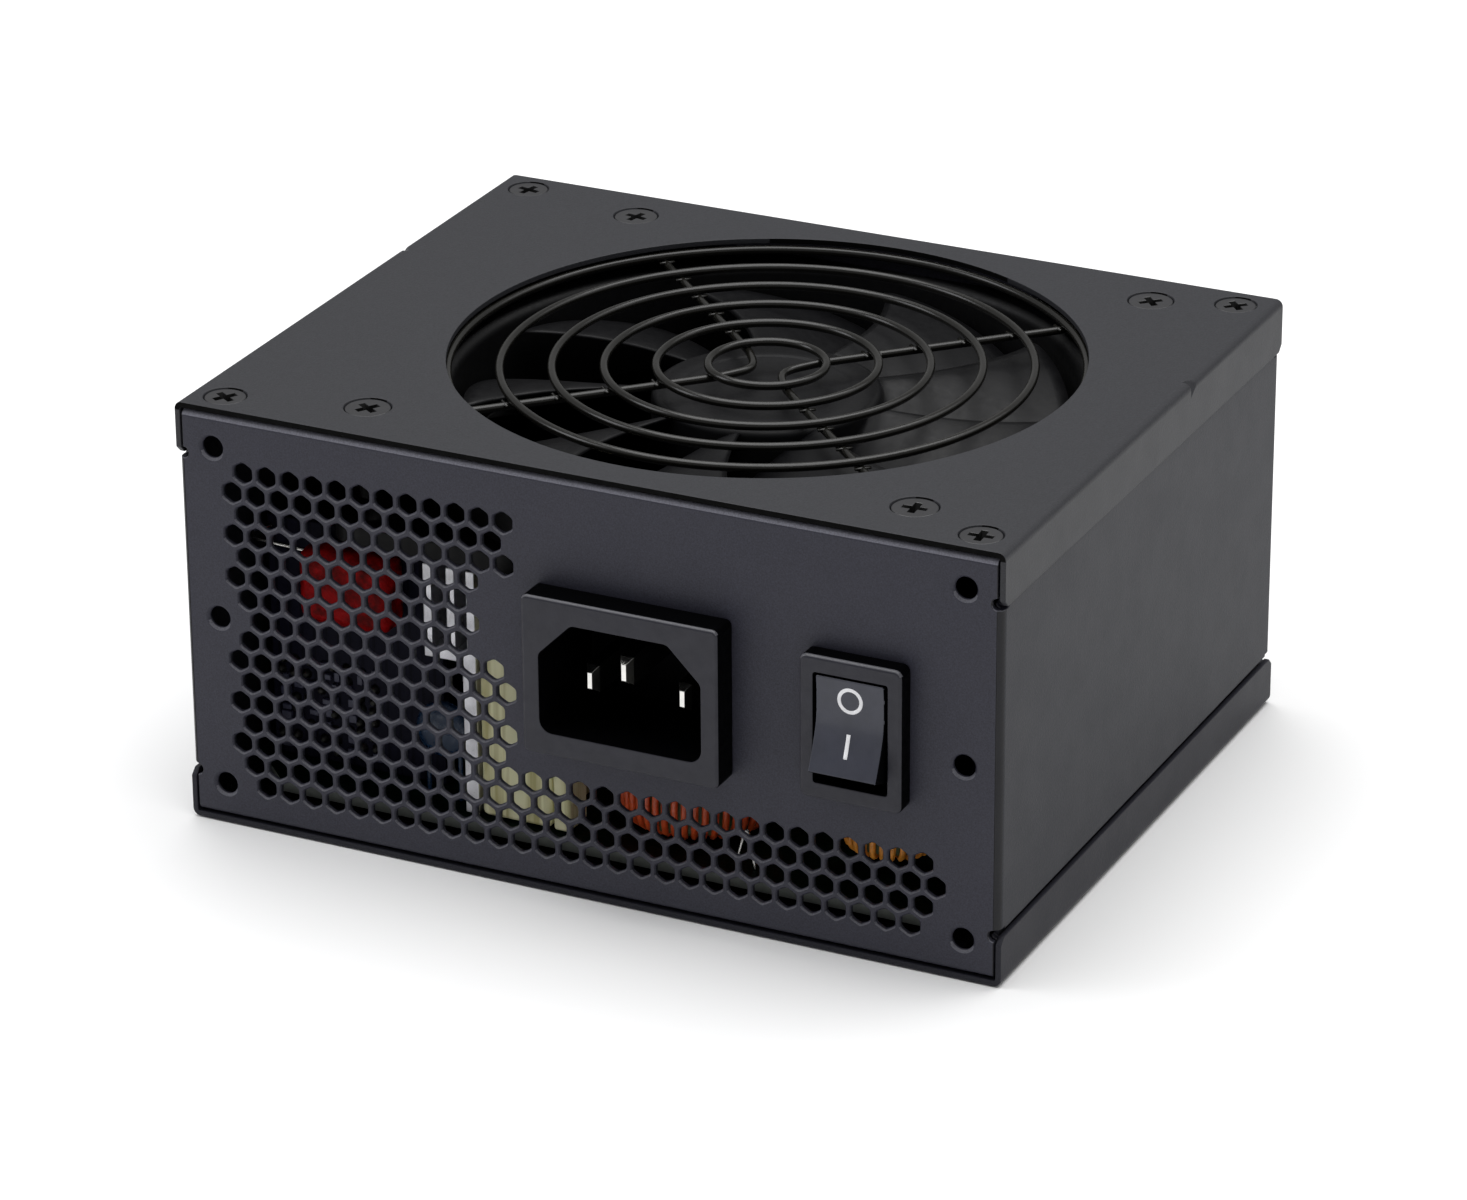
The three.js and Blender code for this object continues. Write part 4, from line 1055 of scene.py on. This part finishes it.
def housing_solid(node, half_x, corner, steps, softness):
    """A flange on the rear panel, with rounded corners and a soft front edge, and a body behind it."""
    low, high = box(node)
    centre = middle(node)
    panel = box("main_shell")[0].y
    outline = rounded(rectangle(low.x, high.x, low.z, high.z), corner, steps)
    flange = soft_prism(outline, low.y, panel - 0.05, softness)
    body = block(
        (centre.x - half_x, panel - 1, centre.z - HOUSING_HALF_Z),
        (centre.x + half_x, high.y, centre.z + HOUSING_HALF_Z),
    )
    return joined(flange, body)


def add_housing(name, housing, node, edge):
    front = box(node)[0].y
    mark_faces(housing, lambda face: front_marks(face, front))
    add_piece(name, housing, [inlet_front, inlet_side_shade, inlet_edge_highlight], node, edge=edge)


def pin_slot(x, z, half_x, half_z, front, back):
    return prism(rectangle(x - half_x, x + half_x, z - half_z, z + half_z), "Y", front, back)


def make_inlet():
    low, high = box("inlet_housing")
    centre = middle("inlet_housing")
    half_x, half_z, chamfer = 12.2, 8.3, 5
    left, right = centre.x - half_x, centre.x + half_x
    bottom, top = centre.z - half_z, centre.z + half_z
    plug = [
        (left, bottom), (right, bottom), (right, top - chamfer), (right - chamfer, top),
        (left + chamfer, top), (left, top - chamfer),
    ]
    space = prism(rounded(plug, [1.9, 1.9, 1.3, 1.3, 1.3, 1.3], 6), "Y", low.y - 1, high.y - 2.5)
    panel = box("main_shell")[0].y
    slots = [pin_slot(middle(pin).x, middle(pin).z, 1.3, 2.3, panel, high.y + 1) for pin in PINS]
    housing = cut(housing_solid("inlet_housing", INLET_HALF_X, 0.9, 4, 0.45), space, *slots)
    add_housing("inlet_shell", housing, "inlet_housing", 0.16)
    for pin in PINS:
        blade_pin = pin_solid(*box(pin))
        # The pins' front and left faces are bright metal; the rest are painted shade in dull dark metal
        mark_faces(blade_pin, lambda f: 0 if f.normal.y < -0.2 and f.normal.x < 0.2 else 1)
        add_piece(pin + "_blade", blade_pin, [contact_metal, dull_metal_and_shade], pin, edge=0.06)


def pin_solid(low, high):
    """A flat contact pin, tapered to its tip, which points to -Y."""
    centre = (low + high) / 2
    taper, tip_width, tip_height = 1.1, 0.35, 0.6
    section = rectangle(low.x, high.x, low.z, high.z)
    tip = [
        (centre.x + (x - centre.x) * tip_width, centre.z + (z - centre.z) * tip_height) for x, z in section
    ]
    return loft([tip, section, section], "Y", [low.y, low.y + taper, high.y])


def soft_prism(outline, front, back, radius):
    """An outline extruded along Y, whose front edge is rounded."""
    bm = prism(outline, "Y", front, back)
    rim = [e for e in bm.edges if all(abs(v.co.y - front) < 1e-4 for v in e.verts)]
    return soften(bm, rim, radius)


def front_marks(face, front):
    """The textured front of a housing is 0; its smooth sides are 1, painted near black as painted shade; and
    the top edge of its front is 2, a painted highlight.
    """
    if face.calc_center_median().y > front + 0.6 or face.normal.y > -0.15:
        return 1
    # Painted highlight along the front's top edge
    if face.normal.z > 0.3:
        return 2
    return 0 if face.normal.y < -0.5 else 1


def mark_faces(bm, index_of):
    bm.normal_update()
    for face in bm.faces:
        face.material_index = index_of(face)


def make_switch():
    low, high = box("switch_housing")
    x, z = middle("switch_housing").x, middle("switch_housing").z
    half_x, half_z = 5.45, 8.1
    window = rounded(rectangle(x - half_x, x + half_x, z - half_z, z + half_z), 0.4, 3)
    space = prism(window, "Y", low.y - 1, low.y + 11)
    bearing = cone("X", 1.55, x - 5.95, x + 5.95, (ROCKER_PIVOT.y, z), 24)
    slots = [pin_slot(x, z + up, 0.7, 2.7, low.y + 10, high.y + 1) for up in (-4.6, 4.6)]
    housing = cut(housing_solid("switch_housing", SWITCH_HALF_X, 1.1, 5, 0.5), space, bearing, *slots)
    add_housing("switch_shell", housing, "switch_housing", 0.15)
    for i in (1, 2):
        dress(f"switch_terminal_{i}", contact_metal)


def rocker_face(height):
    """How far the rocker's face stands before the pivot, at a height over it."""
    return -5.2 - 1.3 * (abs(height) / ROCKER_HALF_Z) ** 1.5


def to_rocker(bm):
    """Tilts a solid made about the pivot to the rest position, and puts it in place."""
    return moved(turned(bm, -ROCKER_TILT, "X"), *ROCKER_PIVOT)


def make_rocker():
    steps = 28
    heights = [ROCKER_HALF_Z - 2 * ROCKER_HALF_Z * i / steps for i in range(steps + 1)]
    front = [(rocker_face(h), h) for h in heights]
    back = [(0, -7.6), (1.8, -5.5), (2.4, 0), (1.8, 5.5), (0, 7.6)]
    body = prism(front + back, "X", -ROCKER_HALF_X, ROCKER_HALF_X)
    button = joined(body, cone("X", 1.2, -5.7, 5.7, sides=24))
    # The rocker's sides take the housings' near-black painted shade
    mark_faces(button, lambda f: 0 if f.normal.y < -0.5 else 1)
    add_piece("rocker_button_shell", to_rocker(button), [rocker_plastic, inlet_side_shade], "rocker",
              body="rocker_button", edge=0.22, steps=3)
    ring = [(x, rocker_face(z), z) for x, z in polygon(1.6, 48, 0, 3.8)]
    outward = Vector((0, -1, 0))
    mark = sweep(ring, (0.05, 0.27), 10, True, normal=outward)
    bar_heights = [-0.9 - 0.55 * i for i in range(7)]
    bar = sweep([(0, rocker_face(h), h) for h in bar_heights], (0.05, 0.3), 10, normal=outward)
    for name, solid in (("mark_off", mark), ("mark_on", bar)):
        add_piece(name, to_rocker(solid), mark_white, body="rocker_button")


# ---- electronics

def boxed(name, node, material, radius):
    """A box with all its edges rounded."""
    bm = block(*box(node))
    add_piece(name, soften(bm, bm.edges[:], radius, clamp=True), material, node)


def winding(name, choke, material, turns, wire):
    """A ring core and the wire wound round it, open over the sector that faces +Y."""
    core = choke + "_core"
    low, high = box(core)
    centre = middle(core)
    outer = (high.x - low.x) / 2
    inner = outer / 2
    half_width = (outer - inner) / 2 + wire
    half_height = (high.z - low.z) / 2 + wire
    path = []
    steps = 16
    for step in range(turns * steps + 1):
        t = step / steps
        around = math.radians(110 + 320 * t / turns)
        section = 2 * math.pi * t
        out = half_width * squared(math.cos(section))
        # Inside the ring, where there is less room, every other turn lies on top of its neighbours
        if out < 0 and int(t) % 2:
            out -= wire * 1.6 * (out / half_width) ** 2
        reach = (outer + inner) / 2 + out
        up = half_height * squared(math.sin(section))
        path.append((centre.x + reach * math.cos(around), centre.y + reach * math.sin(around), centre.z + up))
    add_piece(name, sweep(path, wire * 0.92, 8), material, choke + "_winding")
    ring = moved(lathe(rounded(rectangle(inner, outer, low.z, high.z), 0.7, 4), 64), centre.x, centre.y)
    add_piece(core + "_ring", ring, ring_core, core)


def squared(value):
    """Makes a round section squarer."""
    return math.copysign(abs(value) ** 0.6, value)


def can_profile(radius, height):
    return [
        (0, 0.3), (radius - 1.2, 0.3), (radius - 0.5, 0), (radius, 0.5), (radius, 1.5), (radius - 0.5, 2.0),
        (radius - 0.55, 2.4), (radius, 3.0), (radius, height - 0.5), (radius - 0.5, height),
        (radius - 1.2, height - 0.3), (0, height - 0.35),
    ]


def make_capacitors():
    boxed("tall_yellow_capacitor", "filter_capacitor_large", yellow_case, 0.9)
    boxed("low_yellow_capacitor", "filter_capacitor_small", yellow_case, 0.5)
    boxed("red_film_capacitor", "film_capacitor", red_case, 2.0)
    make_disc_capacitor()
    low, high = box("bulk_capacitor")
    centre = middle("bulk_capacitor")
    can = turned(lathe(can_profile((high.x - low.x) / 2, high.y - low.y), 64), -90, "X")
    moved(can, centre.x, low.y, centre.z)
    add_piece("bulk_capacitor_can", can, sleeve, "bulk_capacitor")
    for i in (1, 2, 3):
        node = f"output_capacitor_{i}"
        low, high = box(node)
        can = lathe(can_profile((high.x - low.x) / 2, high.z - low.z), 40)
        moved(can, middle(node).x, middle(node).y, low.z)
        add_piece(node + "_can", can, sleeve, node)


def make_disc_capacitor():
    low, high = box("disc_capacitor")
    centre = middle("disc_capacitor")
    radius, rim = 4.2, [(2.4, 1.35), (3.6, 1.0), (4.1, 0.5)]
    profile = [(0, 1.4), *rim, (radius, 0), *[(r, -z) for r, z in rim[::-1]], (0, -1.4)]
    disc = moved(turned(lathe(profile), 90, "X"), centre.x, centre.y, high.z - radius)
    legs = []
    for x in (centre.x - 2.5, centre.x + 2.5):
        legs.append(sweep([(x, centre.y, low.z), (x, centre.y, low.z + 8)], 0.35, 8))
    add_piece("blue_disc_capacitor", merged(disc, *legs), blue_coating, "disc_capacitor")


def make_heatsinks():
    low, high = box("primary_heatsink")
    shelf = 29.8
    web = block((high.x - 2.1, low.y, low.z), (high.x, high.y, shelf + 1))
    plate = block((low.x, low.y, shelf), (high.x, high.y, shelf + 1.8))
    fin = 1.3
    fins = []
    for x in (low.x, low.x + 3.6, high.x - fin):
        fins.append(block((x, low.y, shelf + 1), (x + fin, high.y, high.z)))
    sink = joined(web, plate, *fins)
    add_piece("primary_fins", sink, bare_aluminium, "primary_heatsink", edge=0.15)
    low, high = box("secondary_heatsink")
    sink = block(low, (low.x + 2, high.y, high.z))
    fin_count, fin_pitch, fin = 7, 6.5, 1.4
    for i in range(fin_count):
        y = low.y + 1 + i * fin_pitch
        sink = joined(sink, block((low.x + 1.5, y, 26), (high.x, y + fin, high.z)))
    add_piece("secondary_fins", sink, black_aluminium, "secondary_heatsink", edge=0.15)


def make_magnetics():
    winding("filter_winding", "filter_choke", copper_red, 44, 0.55)
    winding("switch_winding", "switch_choke", copper_orange, 26, 0.5)
    for name, leg, material, slot in (
        ("boost_inductor", 7, copper_orange, "copper_wire"),
        ("transformer", 10, yellow_tape, "yellow_tape"),
    ):
        dress(name + "_core", ferrite)
        low, high = box(name + "_coil")
        core_low, core_high = box(name + "_core")
        inner = leg / 2 + 0.3
        depth = (core_high.y - core_low.y) / 2 + 0.3
        x, y = middle(name + "_coil").xy
        outline = rounded(rectangle(low.x, high.x, low.y, high.y), 2.2, 6)
        hole = rectangle(x - inner, x + inner, y - depth, y + depth)
        layers = cut(prism(outline, "Z", low.z, high.z), prism(hole, "Z", low.z - 1, high.z + 1))
        add_piece(name + "_windings", layers, material, name + "_coil", edge=0.3)


def make_boards():
    # Both board finishes are darkened as painted shade for the dim inside of the case
    for kind, finish in (("main", green_board_shaded), ("daughter", dark_board), ("output", green_board_shaded)):
        node = kind + "_board"
        low, high = box(node)
        is_flat = high.z - low.z < 3
        # The flat board's corners are cut off, to clear the folds of the case
        outline = rounded(rectangle(low.x, high.x, low.y, high.y), 8 if is_flat else 0, 1)
        plate = prism(outline, "Z", low.z, high.z)
        mark_faces(plate, lambda f: 1 if is_flat and abs(f.normal.z) < 0.5 else 0)
        add_piece(kind + "_circuit_board", plate, [finish, board_edge], node, edge=0.12)
    dress("insulation_sheet", film_sheet)
    make_board_parts()


def make_board_parts():
    """Small parts and solder joints on the rear face of the upright board."""
    low = box("daughter_board")[0]
    chance = random.Random(4)
    parts, solder = bmesh.new(), bmesh.new()
    for column in range(8):
        for row in range(8):
            x = low.x + 1.6 + column * 2.1 + chance.uniform(-0.3, 0.3)
            z = low.z + 1.5 + row * 1.9 + chance.uniform(-0.3, 0.3)
            if chance.random() < 0.5:
                width, height = chance.choice(((1.4, 0.8), (0.8, 1.4), (1.5, 1.2)))
                block((x, low.y - 0.6, z), (x + width, low.y + 0.1, z + height), parts)
            else:
                cone("Y", (0.35, 0.85), low.y - 0.7, low.y + 0.1, (x, z), 12, solder)
    add_piece("daughter_board_parts", parts, chip_blue, edge=0.1)
    add_piece("daughter_board_joints", solder, dull_metal_and_shade, edge=0.1)
    make_link_wires()


def make_link_wires():
    """A bare wire from the upright board to the red capacitor, and a jumper on the main board."""
    paths = [
        [
            (-54.2, -38.7, 41.9), (-55.6, -41, 41.9), (-54.8, -43.2, 41.8), (-52.5, -43.5, 41.7),
            (-46, -43.5, 41.4),
        ],
        [(20.4, -44, 6.4), (20.9, -44, 9), (22.0, -44, 12.4), (22.8, -44, 9), (23.3, -44, 6.4)],
    ]
    wires = bmesh.new()
    for path in paths:
        sweep(smooth_path(path, 6), 0.3, 8, bm=wires)
    add_piece("link_wires", wires, contact_metal)


def make_sockets():
    for node in SOCKETS:
        low, high = box(node)
        wall = SOCKET_WALL
        inner = rectangle(low.x + wall, high.x - wall, low.z + wall, high.z - wall)
        shroud = prism(rounded(rectangle(low.x, high.x, low.z, high.z), 0.5, 3), "Y", low.y, high.y)
        space = prism(rounded(inner, 0.3, 3), "Y", high.y - 7.2, high.y + 1)
        towers, holes, pins = bmesh.new(), bmesh.new(), bmesh.new()
        for column in range(round((high.x - low.x - 2 * wall) / SOCKET_PITCH)):
            x = low.x + wall + (column + 0.5) * SOCKET_PITCH
            # Every other cell has rounder corners, so that a plug fits only one way
            corner = 0.6 if column % 2 else 0.2
            for z in (middle(node).z - 2.2, middle(node).z + 2.2):
                prism(rounded(square(1.75, x, z), corner, 2), "Y", high.y - 7.6, high.y - 1.4, towers)
                prism(rounded(square(1.3, x, z), 0.3, 2), "Y", high.y - 6.6, high.y, holes)
                prism(square(0.5, x, z), "Y", high.y - 7.6, high.y - 2.2, pins)
        body = cut(joined(cut(shroud, space), towers), holes)
        add_piece(node + "_shroud", body, socket_plastic, node, edge=0.08, steps=1)
        add_piece(node + "_pins", pins, contact_metal, edge=0.12, steps=1)


make_camera()
make_lights()
make_stage()
make_cover()
make_tray()
make_shell()
make_connector_panel()
make_screws()
make_guard()
make_fan_frame()
make_rotor()
make_fan_motor()
make_inlet()
make_switch()
make_rocker()
make_capacitors()
make_heatsinks()
make_magnetics()
make_boards()
make_sockets()
